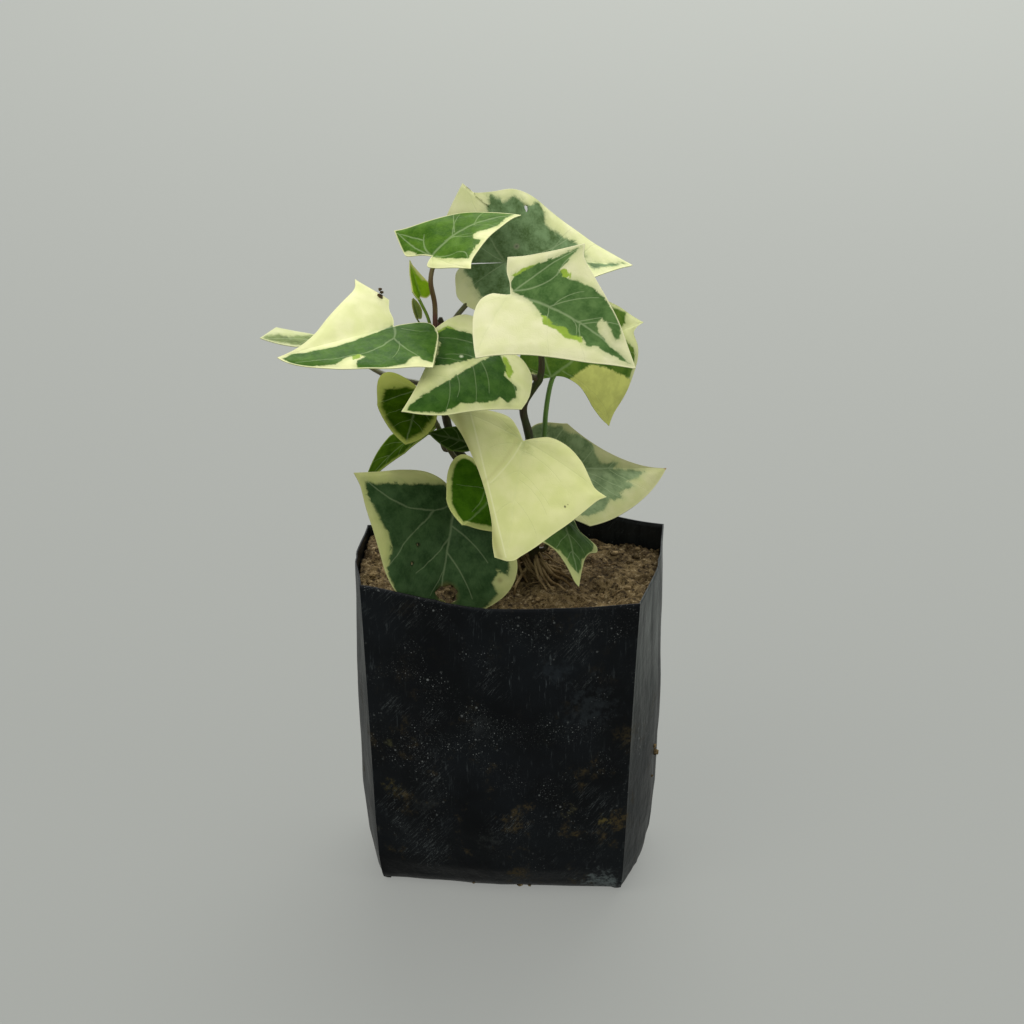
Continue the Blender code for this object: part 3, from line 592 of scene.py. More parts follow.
def new_material(name, roughness, specular):
    """A Principled material; returns it with its node helper and its shader."""
    material = bpy.data.materials.new(name)
    material.use_nodes = True
    shader = material.node_tree.nodes["Principled BSDF"]
    shader.inputs["Roughness"].default_value = roughness
    shader.inputs["Specular IOR Level"].default_value = specular
    return material, Nodes(material.node_tree), shader


def dress(n, shader, colour, height, strength, depth_mm):
    """Gives a shader its colour and its bumps."""
    n.put(shader.inputs["Base Color"], colour)
    bumps = n.out("ShaderNodeBump", {"Height": height, "Strength": strength,
                                     "Distance": depth_mm * MM})
    n.put(shader.inputs["Normal"], bumps)


def line_group():
    """A bowed line between two places: 1 on it, 0 beyond its width, thinner at its end."""
    tree = bpy.data.node_groups.new("line", "ShaderNodeTree")
    for name, kind in (("Place", "Vector"), ("From", "Vector"), ("To", "Vector"), ("Bow", "Float"),
                       ("Width", "Float"), ("Taper", "Float")):
        tree.interface.new_socket(name, in_out="INPUT", socket_type="NodeSocket" + kind)
    tree.interface.new_socket("Line", in_out="OUTPUT", socket_type="NodeSocketFloat")
    n = Nodes(tree)
    given = {s.name: Wire(n, s) for s in n.add("NodeGroupInput").outputs}
    run = n.vector("SUBTRACT", given["To"], given["From"])
    seen = n.vector("SUBTRACT", given["Place"], given["From"])
    length = n.math("MAXIMUM", n.vector("LENGTH", run), 0.001)
    raw = n.vector("DOT_PRODUCT", seen, run) / (length * length)
    share = n.math("MAXIMUM", n.math("MINIMUM", raw, 1.0), 0.0)
    run_xy, seen_xy = n.split(run), n.split(seen)
    aside = (run_xy[0] * seen_xy[1] - run_xy[1] * seen_xy[0]) / length
    aside = aside - share * (1.0 - share) * (given["Bow"] * 4.0)
    past = (raw - share) * length
    away = n.math("SQRT", aside * aside + past * past)
    width = given["Width"] * (1.0 - share * given["Taper"])
    n.put(n.add("NodeGroupOutput").inputs["Line"], n.range(away, 0.0, width * 1.35, 1.0, 0.0))
    return tree


LINE = line_group()


def line(n, place, start, end, bow, width, taper=0.5):
    return n.out("ShaderNodeGroup", {"Place": place, "From": (*start, 0.0), "To": (*end, 0.0),
                                     "Bow": bow, "Width": width, "Taper": taper}, node_tree=LINE)


MIDRIB_WIDTH, LOBE_VEIN_WIDTH, SHOULDER_VEIN_WIDTH, SIDE_VEIN_WIDTH = 0.62, 0.45, 0.3, 0.28
SIDE_VEIN_STARTS = (0.28, 0.52)


def veins_of(name):
    """Every vein of a leaf: (from, to, bow, width), in shares of its length but for the width."""
    leaf, paint = LEAVES[name], {**PAINT_DEFAULTS, **PAINT[name]}
    veins = [((0.0, 0.0), (0.97, 0.0), paint["midrib"], MIDRIB_WIDTH)]
    if paint["lobes"]:
        for half, sign in enumerate((1, -1)):
            lobe, shoulder = np.array(leaf["lobe"][half]), np.array(leaf["shoulder"][half])
            lobe, shoulder = lobe * 0.93 * (1, sign), shoulder * 0.8 * (1, sign)
            veins.append(((0.0, 0.0), tuple(lobe), 0.02 * sign, LOBE_VEIN_WIDTH))
            veins.append(((0.0, 0.0), tuple(shoulder), 0.0, SHOULDER_VEIN_WIDTH))
            for start in SIDE_VEIN_STARTS:
                side = np.array([start + 0.24, 0.30 * (1.15 - start) * sign])
                veins.append(((start, paint["midrib"] * 0.8), tuple(side), 0.015 * sign,
                              SIDE_VEIN_WIDTH))
    return veins + list(paint["veins"])


def leaf_material(name):
    """Cream and green with a torn border, lime at its fringe, pale veins and a fine pale rim."""
    paint, length = {**PAINT_DEFAULTS, **PAINT[name]}, LEAVES[name]["length"]
    material, n, shader = new_material(name + "_skin", 0.46, paint["gloss"])
    place = n.attribute("place")
    tone, lime, edge = n.split(n.attribute("paint"))[:3]

    def ends(*points):
        """Places in mm from shares of the leaf's length."""
        return [tuple(np.array(point, float) * length) for point in points]

    # how far inside the green a place is, once its border is torn and frayed
    torn = (n.noise(place, 0.42, 3.0, 0.6) - 0.5) * 2.2
    torn = torn + (n.cell_pick(n.scaled(place, (1.0, 0.8, 1.0)), 0.55) - 0.5) * 1.2
    frayed = (n.noise(place, 2.4, 2.0) - 0.5) * 0.9
    field = tone + (torn + frayed) * paint["jag"]
    green = n.range(field, -paint["soft"], paint["soft"])
    haze = n.range(field, -2.2 - paint["soft"], 0.2) * 0.30

    mottle = n.range(n.noise(place, 0.16, 4.0, 0.6), 0.32, 0.68)
    grain = n.noise(place, 1.3, 3.0, 0.65)
    greens = n.mix(mottle, tint(paint["deep"]), tint(paint["fresh"]))
    greens = n.over(greens, n.range(grain, 0.35, 0.75, 0.0, 0.35), paint["fresh"])
    pale, limes = np.array(tint(paint["cream"])), np.array(tint(paint["limes"]))
    creams = n.mix(n.range(n.noise(place, 0.11, 2.0), 0.3, 0.7), tuple(pale),
                   tuple(pale * (0.90, 0.93, 0.80)))
    creams = n.over(creams, haze, 0.5 * np.array(paint["fresh"]) + (70, 80, 40))
    creams = n.mix(n.range(lime + torn * 0.5, -0.3, 0.3), creams,
                   n.mix(mottle, tuple(limes), tuple(0.8 * limes)))
    colour = n.mix(green, creams, greens)

    # pale veins, strong on green and faint on cream
    bend = (n.noise(place, 0.22, 2.0) - 0.5) * 0.9
    along = n.scaled(n.vector("ADD", place, n.join(bend, bend)), (1.0, 1.0, 0.0))
    ribs = None
    for start, end, bow, width in veins_of(name):
        rib = line(n, along, *ends(start, end), bow * length, width)
        ribs = rib if ribs is None else n.math("MAXIMUM", ribs, rib)
    web = n.range(n.cells(along, 0.42, "DISTANCE_TO_EDGE"), 0.0, 0.09, 1.0, 0.0)
    colour = n.over(colour, (green * (0.40 * paint["veined"]) + 0.06) * ribs, (184, 198, 150))
    colour = n.over(colour, web * green * (0.05 * paint["veined"]), (150, 172, 110))
    if paint["rim"]:
        colour = n.over(colour, n.range(edge, 0.12, 0.55, 0.8, 0.0), paint["cream"])
    for spot, radius, shade in paint["spots"]:
        (x, y), = ends(spot)
        colour = n.over(colour, line(n, along, (x, y), (x + 0.05, y), 0.0, radius, 0.0), shade)
    # pale and dark lines: on the cream leaf, a painted highlight along its fold and painted shade
    # on the folded strip
    for start, end, bow, width, shade in paint["marks_and_fold_light"]:
        mark = line(n, place, *ends(start, end), bow * length, width, 0.2)
        colour = n.over(colour, mark * 0.5, shade)
    # the underside is paler and less coloured
    colour = n.over(colour, n.range(n.split(place)[2], 0.4, 0.6) * 0.35, (140, 158, 92))
    n.put(shader.inputs["Roughness"], n.range(n.noise(place, 0.8, 2.0), 0.25, 0.75, 0.36, 0.52))
    dress(n, shader, colour, grain * 0.35 - (ribs * 0.6 + web * 0.16), 0.55, 0.18)
    return material


def stalk_material(name, near, far):
    """A stalk's skin, one colour at the stem turning to another at the blade, with long streaks."""
    material, n, shader = new_material(name, 0.42, 0.4)
    place, share = n.attribute("place"), n.split(n.attribute("paint"))[0]
    streak = n.noise(n.scaled(place, (0.12, 2.2, 1.0)), 1.0, 3.0, 0.6)
    blend = n.range(share + (streak - 0.5) * 0.9, 0.1, 0.9)
    colour = n.mix(blend, tint(near), tint(far))
    colour = n.over(colour, n.range(streak, 0.5, 0.8, 0.0, 0.5), (134, 150, 84))
    dress(n, shader, colour, streak, 0.5, 0.2)
    return material


def soil_material():
    """Brown soil with painted shade in its pits, and pale grains. What is painted 1 is the colour
    of dry straw.
    """
    material, n, shader = new_material("soil_grain", 0.95, 0.15)
    place, kind = n.attribute("place"), n.split(n.attribute("paint"))[0]
    broad, fine = n.noise(place, 0.11, 4.0, 0.6), n.noise(place, 0.50, 6.0, 0.74)
    colour = n.mix(n.range(broad, 0.3, 0.7), tint((80, 65, 41)), tint((124, 105, 70)))
    # painted shade: dark where the bumps sink into pits
    colour = n.over(colour, n.range(fine, 0.40, 0.52, 0.85, 0.0), (36, 28, 17))
    colour = n.over(colour, n.range(fine, 0.54, 0.70, 0.0, 0.75), (186, 168, 130))
    straw = n.mix(n.range(broad, 0.4, 0.6), tint((104, 84, 52)), tint((158, 136, 96)))
    dress(n, shader, n.mix(kind, colour, straw), fine, 0.9, 0.7)
    return material


def stem_material():
    """Olive and brown bark with pale streaks and dark lengthwise cracks."""
    material, n, shader = new_material("stem_bark", 0.6, 0.3)
    place = n.attribute("place")
    broad = n.noise(place, 0.12, 3.0, 0.6)
    crack = n.noise(n.scaled(place, (0.16, 1.5, 1.0)), 1.0, 4.0, 0.65)
    colour = n.mix(n.range(broad, 0.35, 0.65), tint((48, 58, 20)), tint((58, 48, 30)))
    colour = n.over(colour, n.range(crack, 0.5, 0.75, 0.0, 0.5), (96, 98, 50))
    colour = n.over(colour, n.range(crack, 0.25, 0.42, 0.7, 0.0), (26, 24, 14))
    dress(n, shader, colour, crack, 0.8, 0.35)
    return material


STAINS_AND_SHEEN = (   # stains and patches on the film, and a painted sheen: place, radius, colour and strength
    # the first, pale blue-grey and low by the right front corner, is a painted sheen; the brown
    # ones are dried soil
    ((36, -28, 3), 9.0, (112, 122, 120), 0.60), ((24, -36, 4), 4.0, (96, 100, 92), 0.35),
    ((-2, -37, 3), 3.2, (128, 98, 48), 0.75), ((-37, -30, 42), 3.6, (92, 82, 40), 0.6),
    ((24, -38, 38), 4.4, (84, 80, 56), 0.55), ((36, -33, 32), 3.8, (104, 92, 48), 0.6),
    ((-37, -31, 60), 2.4, (84, 82, 50), 0.4), ((18, -38, 10), 3.4, (74, 68, 44), 0.5),
    ((47, 0, 45), 4.0, (96, 84, 58), 0.6), ((-6, -38, 72), 6.0, (70, 74, 74), 0.14),
    ((20, -39, 92), 7.0, (64, 72, 76), 0.16), ((31, -36, 78), 10.0, (48, 54, 56), 0.35),
    ((-3, -38, 24), 5.0, (66, 70, 66), 0.22), ((-26, -36, 38), 5.0, (60, 64, 62), 0.22),
)
DUST = ((0.95, 0.60, 0.62), (1.9, 0.52, 0.5), (0.42, 0.80, 0.55))   # cells per mm, rarity, strength


def film_material():
    """Black polythene: scuffs, dust, dried soil, a painted sheen low on the right front corner and
    painted shade on the inside. The gussets are greyer, the right one most: partly the folded,
    thinner film and partly a painted sheen.
    """
    material, n, shader = new_material("film", 0.36, 0.11)
    place = n.attribute("place")
    gusset, inner, low = n.split(n.attribute("paint"))[:3]
    broad = n.noise(place, 0.035, 4.0, 0.6)
    streak = n.noise(n.scaled(place, (0.30, 0.30, 0.035)), 1.0, 4.0, 0.6)
    scratch = n.noise(n.scaled(place, (0.9, 0.9, 0.12)), 1.0, 5.0, 0.7)
    colour = n.mix(n.range(broad, 0.35, 0.7), tint((4, 6, 8)), tint((13, 17, 20)))
    # the grey of the gussets, greyest near the top and on the right, is partly a painted sheen
    grey = n.mix(n.range(streak, 0.35, 0.65), tint((40, 44, 42)), tint((82, 86, 82)))
    colour = n.mix(gusset * n.range(low, 0.05, 0.65, 0.95, 0.12), colour, grey)
    # faint scuffs over the faces, strongest in the upper half
    scuff = n.range(scratch, 0.56, 0.78) * n.range(broad, 0.40, 0.62)
    colour = n.over(colour, scuff * n.range(low, 0.2, 0.8, 0.34, 0.18), (112, 120, 120))
    # long thin scratches at a slant
    slant = n.vector("DOT_PRODUCT", place, (0.62, 0.0, 0.78))
    across = n.vector("DOT_PRODUCT", place, (0.78, 0.0, -0.62))
    thin = n.noise(n.join(slant * 0.06, across), 0.9, 3.0, 0.6)
    hair = n.range(n.math("ABSOLUTE", thin - 0.5), 0.0, 0.012, 1.0, 0.0)
    hair = hair * n.range(n.noise(place, 0.05, 3.0, 0.6), 0.52, 0.66)
    colour = n.over(colour, hair * 0.32, (120, 126, 124))
    # dust: specks of three sizes and a powder, gathered in clouds
    cloud = n.range(n.noise(place, 0.06, 3.0, 0.6), 0.44, 0.66)
    cloud = cloud * n.range(low, 0.45, 0.85, 1.0, 0.35)
    for size, least, strength in DUST:
        speck = n.range(n.cells(place, size), 0.10, 0.24, 1.0, 0.0)
        chosen = n.range(n.cell_pick(place, size), least, least + 0.08)
        colour = n.over(colour, speck * chosen * cloud * strength, (150, 154, 150))
    powder = n.range(n.noise(place, 1.6, 4.0, 0.7), 0.52, 0.78) * cloud
    colour = n.over(colour, powder * 0.30, (92, 96, 92))
    # dried soil, mostly in the lower half
    mud = n.range(n.noise(place, 0.085, 5.0, 0.68), 0.55, 0.70)
    mud = mud * n.range(low, 0.15, 0.75, 0.15, 1.0)
    mud = mud * n.range(n.noise(place, 0.9, 3.0, 0.7), 0.35, 0.6)
    colour = n.over(colour, mud * 0.6, (78, 66, 38))
    # stains, and the painted sheen by the right front corner, each with a frayed border
    for centre, radius, shade, strength in STAINS_AND_SHEEN:
        away = n.vector("LENGTH", n.vector("SUBTRACT", place, centre))
        worn = away + n.noise(place, 0.36, 5.0, 0.7) * (radius * 4.0)
        colour = n.over(colour, n.range(worn, radius * 2.0, radius * 3.0, strength, 0.0), shade)
    # painted shade: the inside of the film is darkened
    colour = n.over(colour, inner * 0.5, (20, 21, 17))
    rough = n.range(broad * 0.6 + scratch * 0.4, 0.3, 0.7, 0.30, 0.50)
    n.put(shader.inputs["Roughness"], n.math("ADD", rough, mud * 0.3, clamp=True))
    height = streak * 0.5 + (n.noise(place, 0.22, 4.0, 0.55) * 0.9 + scratch * 0.12)
    dress(n, shader, colour, height, 0.35, 1.2)
    return material


# ---- the bag -----------------------------------------------------------------------------------
PANEL_CELLS = 40            # fine facets along each panel, closer together at the creases
BAG_ROWS = 72
FOOT_ROWS = (0.0, 0.004, 0.012)         # the lowest rows, as shares of the height
FOOT_TUCK = 2.2             # how far the film turns in where it meets the base, mm
FILM, BASE_FILM = 0.40, 0.45            # thickness of the walls and of the base, mm
FLAT_WIDTHS, PANEL_APART = (96.0, 58.0), 120.0      # panel, gusset; apart, so that dents differ
SIDE_GREY_AND_SHEEN, CREASE_PAINT = (0.0, 1.0, 0.3, 0.12), 0.4     # how grey, partly a painted sheen: front, right, back, left
ALONG_PANEL = (0.5 - 0.5 * np.cos(math.pi * np.arange(PANEL_CELLS) / PANEL_CELLS))
STUCK_SOIL = (   # crumbs on the outside: panel, share along it, share of the height, size in mm
    (1, 0.48, 0.40, 1.2), (1, 0.50, 0.37, 1.4), (1, 0.46, 0.31, 0.7), (3, 0.52, 0.47, 0.7),
    (3, 0.50, 0.60, 0.5), (0, 0.56, 0.014, 0.9), (0, 0.575, 0.012, 0.7), (0, 0.44, 0.02, 0.6),
)
STUCK_WITHIN = ((-53.5, -40.0, 0.05), (53.5, 40.0, 120.0))      # corners of the box they keep to


def bag_ring(share, inset=0.0):
    """The bag's section at a share of its height, from the front left crease round by the right."""
    levels = np.array(BAG_LEVELS)
    front, back, depth, gusset, panel = (np.interp(share, levels[:, 0], levels[:, i])
                                         for i in range(1, 6))
    corners = [(-FRONT_HALF * front, FRONT_Y * depth), (FRONT_HALF * front, FRONT_Y * depth),
               (BACK_HALF * back, BACK_Y * depth), (-BACK_HALF * back, BACK_Y * depth)]
    bulges = [(0, -FRONT_BULGE * panel), (GUSSET_BULGE * gusset, 0), (0, BACK_BULGE * panel),
              (-GUSSET_BULGE * gusset, 0)]
    t = ALONG_PANEL[:, None]
    ring = []
    for i, bulge in enumerate(bulges):
        a, b = np.array(corners[i]), np.array(corners[(i + 1) % 4])
        ring.append(a + (b - a) * t + np.array(bulge) * np.sin(math.pi * t))
    ring = np.vstack(ring)
    before, after = np.roll(ring, 1, 0), np.roll(ring, -1, 0)
    n1, n2 = (np.stack([-(q - p)[:, 1], (q - p)[:, 0]], 1) / np.linalg.norm(q - p, axis=1)[:, None]
              for p, q in ((before, ring), (ring, after)))
    mitre = n1 + n2
    inward = 2 * mitre / (mitre * mitre).sum(1)[:, None]
    return ring + np.asarray(inset)[..., None] * inward


def around():
    """For each point of a ring: the panel it is on and its share along that panel."""
    return np.repeat(np.arange(4), PANEL_CELLS), np.tile(ALONG_PANEL, 4)


def rim_height():
    panel, t = around()
    at = (panel + t) * 2
    low = np.minimum(at.astype(int), 7)
    blend = 0.5 - 0.5 * np.cos(math.pi * (at - low))
    rise = np.array(RIM_RISE)
    return BAG_HEIGHT + rise[low % 8] * (1 - blend) + rise[(low + 1) % 8] * blend


def film_dents(share):
    """How far the film is pushed in, mm: long soft folds, pressed lumps and crumpled bottom."""
    panel, t = around()
    gusset = panel % 2 == 1
    width = np.where(gusset, FLAT_WIDTHS[1], FLAT_WIDTHS[0])
    x, z = panel * PANEL_APART + t * width, share * BAG_HEIGHT
    middle = np.sin(math.pi * t) ** 0.5
    folds = 0.45 * ripple(x / 9.0, z / 70.0 + 3, 5)
    folds += 0.35 * ripple(x / 17.0 + z / 40.0, z / 30.0, 6)
    lumps = 0.30 * ripple(x / 8.0, z / 8.0, 7)
    slack = 0.5 * ripple(x / 24.0, z / 12.0 + x / 60.0, 8) * (1 - ease(share, 0.02, 0.28))
    gather = 0.55 * np.abs(ripple(x / 5.5 + z / 9.0, z / 14.0, 9)) * (1 - ease(share, 0.0, 0.16))
    crease = 0.55 * np.exp(-((t - 0.27) * width / 0.9) ** 2) * (panel == 0)
    crease = crease * ease(share, 0.55, 0.95)
    pleat = 0.5 * np.exp(-((t - 0.5) * width / 2.2) ** 2) * gusset
    edge = 0.5 * ripple(x / 13.0, 2.0, 10) * ease(share, 0.9, 1.0)
    soft = 0.55 + (folds + lumps + slack) * 0.55 + edge * 0.6
    return np.clip(soft, 0.0, 1.4) * middle + gather * middle + crease + pleat * 0.9


def make_bag(materials):
    """The film's outside from the base up to the rim, its inside back down, and stuck crumbs."""
    count, rim = 4 * PANEL_CELLS, rim_height()
    panel, t = around()
    wavy = 0.35 * ripple(panel * 9 + t * 9, 0.5, 12)
    # how grey each point is; on the right gusset most, this grey is partly a painted sheen
    grey = np.choose(panel, SIDE_GREY_AND_SHEEN)
    grey[t == 0] = CREASE_PAINT
    points, paint = [], []

    def ring(share, inset, inner, base):
        tuck = FOOT_TUCK * (1 - min(1.0, share / FOOT_ROWS[-1])) ** 2
        flat = bag_ring(share, film_dents(share) + inset + tuck)
        z = np.full(count, base) if share == 0 else rim * share + wavy * ease(share, 0.8, 1)
        points.append(np.column_stack([flat, z]))
        paint.append(np.column_stack([grey, np.full(count, inner), np.full(count, 1 - share)]))

    shares_up = np.concatenate([FOOT_ROWS, np.linspace(0.02, 1.0, BAG_ROWS)])
    for share in shares_up:
        ring(share, 0.0, 0.0, 0.0)
    for share in shares_up[::-1]:
        ring(share, FILM, 1.0, BASE_FILM)
    last = (len(points) - 1) * count
    caps = [tuple(range(count)), tuple(last + k for k in range(count))]
    shape = Shape()
    shape.add(np.vstack(points), band_faces(len(points), count) + caps, paint=np.vstack(paint))
    rng = np.random.RandomState(17)
    for side, along, share, size in STUCK_SOIL:
        k = side * PANEL_CELLS + int(along * PANEL_CELLS)
        x, y = bag_ring(share, film_dents(share))[k]
        lump, faces = clump((x, y, rim[k] * share), size, rng)
        shape.add(np.clip(lump, *STUCK_WITHIN), faces, slot=1)
    return shape.build("bag_film", materials)


# ---- the soil ----------------------------------------------------------------------------------
SOIL_INSET = 2.1                # from the bag's outside, mm
SOIL_CELLS = (150, 96)          # facets across and deep
SOIL_SPAN = (94, 60)            # about how wide and deep the soil is, mm
RIM_SINK, RIM_BAND = 1.6, 5.0   # how far the soil sinks at its border, and over what width, mm
SOIL_SHARES = (0.88, 0.6, 0.25, 0.10, 0.03, 0.012)      # rows of its sides, of the bag's height
CRUMBS, STRAW_SHARE = 760, 0.3
FINE_ROOTS, FINE_ROOT_STEP = 70, 1.3
FINE_ROOTS_WITHIN = (41, 25)
CROWN_ROOTS, CROWN_ALL_ROUND = 40, 22   # the rest of them run to the front
CROWN_FEET = ((3.0, 2.0), (9.5, 1.0))
ROOT_PAINT = (1.0, 0.0, 0.0)


def soil_height(x, y):
    """The CAD's surface: rising to the back, heaped round the stems and hollowed in front."""
    heap = SOIL_CROWN * np.exp(-((x - 6) ** 2 + (y - 2) ** 2) / 300.0)
    hollow = 6.5 * np.exp(-((x + 20) / 20.0) ** 2 - ((y + 26) / 10.0) ** 2)
    lumps = 0.8 * np.sin(0.21 * x + 1.0) * np.cos(0.26 * y) + 0.4 * np.sin(0.5 * x + 0.43 * y)
    return SOIL_LEVEL + SOIL_SLOPE * y + heap - hollow + lumps


def soil_surface(x, y):
    """The same with clods, grains and pits."""
    clod = 1.1 * ripple(x / 6.5, y / 6.5, 21) + 0.8 * ripple(x / 3.1, y / 3.1, 22)
    grain = 0.8 * np.abs(ripple(x / 1.5, y / 1.5, 23)) + 0.5 * ripple(x / 0.8, y / 0.8, 24)
    return soil_height(x, y) + clod * 0.9 + grain - 0.5


def soil_top(across, deep):
    """A grid over the bag's mouth, each of its sides spaced evenly, at the soil's surface."""
    mouth, n = bag_ring(SOIL_LEVEL / BAG_HEIGHT, SOIL_INSET), PANEL_CELLS
    front, right, back, left = (np.vstack([mouth[i * n:(i + 1) * n], mouth[(i + 1) * n % (4 * n)]])
                                for i in range(4))

    def at(side, share):
        own = np.append(ALONG_PANEL, 1.0)
        return np.column_stack([np.interp(share, own, side[:, k]) for k in (0, 1)])

    s, t = np.linspace(0, 1, across + 1), np.linspace(0, 1, deep + 1)
    fr, bk, lf, rt = at(front, s), at(back, 1 - s), at(left, 1 - t), at(right, t)
    s, t = (v[..., None] for v in np.meshgrid(s, t, indexing="ij"))
    grid = ((1 - t) * fr[:, None] + t * bk[:, None] + (1 - s) * lf[None] + s * rt[None]
            - (1 - s) * (1 - t) * fr[0] - s * (1 - t) * fr[-1] - (1 - s) * t * bk[0]
            - s * t * bk[-1])
    x, y = grid[..., 0], grid[..., 1]
    to_side, to_end = (np.minimum(v[..., 0], 1 - v[..., 0]) * span
                       for v, span in zip((s, t), SOIL_SPAN))
    z = soil_surface(x, y) - RIM_SINK * (1 - ease(np.minimum(to_side, to_end), 0.0, RIM_BAND))
    return np.column_stack([x.ravel(), y.ravel(), z.ravel()])


def soil_body(top, index):
    """The bed of soil: its top, and its sides and base following the bag's inside."""
    faces = [(index[i, j], index[i + 1, j], index[i + 1, j + 1], index[i, j + 1])
             for i in range(index.shape[0] - 1) for j in range(index.shape[1] - 1)]
    border = np.concatenate([index[:-1, 0], index[-1, :-1], index[:0:-1, -1], index[0, :0:-1]])
    wanted = np.arctan2(top[border, 1], top[border, 0])
    points, count, total, previous = [top], len(border), len(top), border
    for share in SOIL_SHARES:
        ring = bag_ring(share, SOIL_INSET)
        angle = np.arctan2(ring[:, 1], ring[:, 0])
        order = np.argsort(angle)
        x, y = (np.interp(wanted, angle[order], ring[order, k], period=2 * math.pi)
                for k in (0, 1))
        points.append(np.column_stack([x, y, np.full(count, BAG_HEIGHT * share)]))
        current = np.arange(total, total + count)
        faces += [(previous[k], previous[(k + 1) % count], current[(k + 1) % count], current[k])
                  for k in range(count)]
        previous, total = current, total + count
    faces.append(tuple(previous))
    return np.vstack(points), faces


def add_root(shape, path, steps, width, taper, sides):
    fine = smooth_route(path, steps)
    root, faces = tube_parts(fine, np.linspace(width, width * taper, len(fine)), sides)
    shape.add(root, faces, paint=ROOT_PAINT)


def make_soil(material):
    rng = np.random.RandomState(11)
    across, deep = SOIL_CELLS
    top = soil_top(across, deep)
    index = np.arange((across + 1) * (deep + 1)).reshape(across + 1, deep + 1)
    shape = Shape()
    shape.add(*soil_body(top, index))
    # crumbs of every size
    for _ in range(CRUMBS):
        u, v = rng.uniform(0.02, 0.98), rng.uniform(0.03, 0.97)
        size = 0.28 + 1.25 * rng.power(0.45) * rng.uniform(0.2, 1.0)
        centre = top[index[int(u * across), int(v * deep)]]
        lump, faces = clump(centre + (0, 0, size * rng.uniform(-0.25, 0.35)), size, rng)
        place = lump + rng.uniform(-30, 30, 3)
        straw = 0.8 if rng.uniform() < STRAW_SHARE else 0.0
        shape.add(lump, faces, place=place, paint=(straw, 0.0, 0.0))
    # fine roots lying on the soil
    for _ in range(FINE_ROOTS):
        u, v, turn = rng.uniform(0.08, 0.92), rng.uniform(0.1, 0.9), rng.uniform(0, 2 * math.pi)
        x, y = top[index[int(u * across), int(v * deep)]][:2]
        path = []
        for _ in range(9):
            x, y = x + FINE_ROOT_STEP * math.cos(turn), y + FINE_ROOT_STEP * math.sin(turn)
            turn += rng.uniform(-0.5, 0.5)
            if abs(x) > FINE_ROOTS_WITHIN[0] or abs(y) > FINE_ROOTS_WITHIN[1]:
                break
            path.append((x, y, float(soil_surface(x, y)) + rng.uniform(-0.1, 0.7)))
        if len(path) > 3:
            add_root(shape, path, 3, rng.uniform(0.10, 0.24), 0.5, 5)
    # the strands of the crown round the stems
    for k in range(CROWN_ROOTS):
        a = rng.uniform(0, 2 * math.pi) if k < CROWN_ALL_ROUND else rng.uniform(-2.6, -0.5)
        foot = CROWN_FEET[k % 2]
        reach, high = rng.uniform(6, 15), rng.uniform(1.5, 7.5)
        path = []
        for share in np.linspace(0, 1, 6):
            r = 2.0 + reach * share
            x = foot[0] + r * math.cos(a + 0.3 * share)
            y = foot[1] + r * math.sin(a + 0.3 * share)
            path.append((x, y, float(soil_surface(x, y)) * share
                         + (1 - share) * (soil_height(*foot) + high) + 0.4 * math.sin(9 * share)))
        add_root(shape, path, 4, rng.uniform(0.3, 0.85), 0.45, 7)
    return shape.build("soil_bed", [material])


# ---- the stems ---------------------------------------------------------------------------------
STEM_SIDES = 20
BARK_LENGTH, BARK_RADIUS = 110.0, 2.2       # the size on which the bark's pattern is read, mm
KNOT, KNOT_MOST, KNOT_LENGTH = 0.32, 0.45, 1.5
STEM_THINNER = 0.3              # than the CAD's, mm


def stem_radius(stem, share):
    foot, top = stem["radius"]
    return foot + (top - foot) * share


def make_stem(name, material):
    """A stem with a knot at every stalk, ridged along its length and tapered at its top."""
    stem = STEMS[name]
    route = smooth_route(stem["route"], 14)
    share = np.linspace(0, 1, len(route))
    joints = [leaf["joins"][1] for leaf in LEAVES.values() if leaf["joins"][0] == name]
    knots = sum(KNOT * np.exp(-((route[:, 2] - height) / KNOT_LENGTH) ** 2) for height in joints)
    radii = stem_radius(stem, share) * (0.97 + 0.05 * ripple(share * 22, 0.0, 31))
    radii = radii + np.minimum(knots, KNOT_MOST) - STEM_THINNER
    radii[-2:] *= (0.85, 0.55)
    points, faces, a = ridged_tube(route, radii, STEM_SIDES, lambda angle, along: (
        1 + 0.05 * np.sin(5 * angle + 1) + 0.03 * np.sin(9 * angle + 12 * along)))
    length = np.repeat(share * BARK_LENGTH, STEM_SIDES)
    shape = Shape()
    shape.add(points, faces, place=np.column_stack([length, BARK_RADIUS * np.cos(a),
                                                    BARK_RADIUS * np.sin(a)]))
    return shape.build(name + "_bark", [material])


# ---- the leaves ----------------------------------------------------------------------------------
LARGE_LEAF = 25                     # mm long; smaller ones need fewer facets
FINE_LARGE, FINE_SMALL, FINE_HOLED = (7, 24), (5, 14), (10, 44)     # steps along, rows out
NONE_NEAR = -20.0                   # the depth inside a patch of a leaf that has none
VEIN_DEPTH, VEIN_REACH = 0.42, 2.6          # how low the veins lie, and how far it is felt
SWELL, SWELL_SIZE = 0.30, 9.0
PUCKER, PUCKER_SIZE = 0.12, 3.2
BLADE_SINK = 0.2                    # so that the relief stays level with the CAD's blade
MARGIN_THICK, BODY_THICK, MARGIN_BAND = 0.30, 0.42, 1.6     # at the margin; added within it
MIDRIB_SOFTNESS = 0.72              # how round the valley along the midrib is, mm


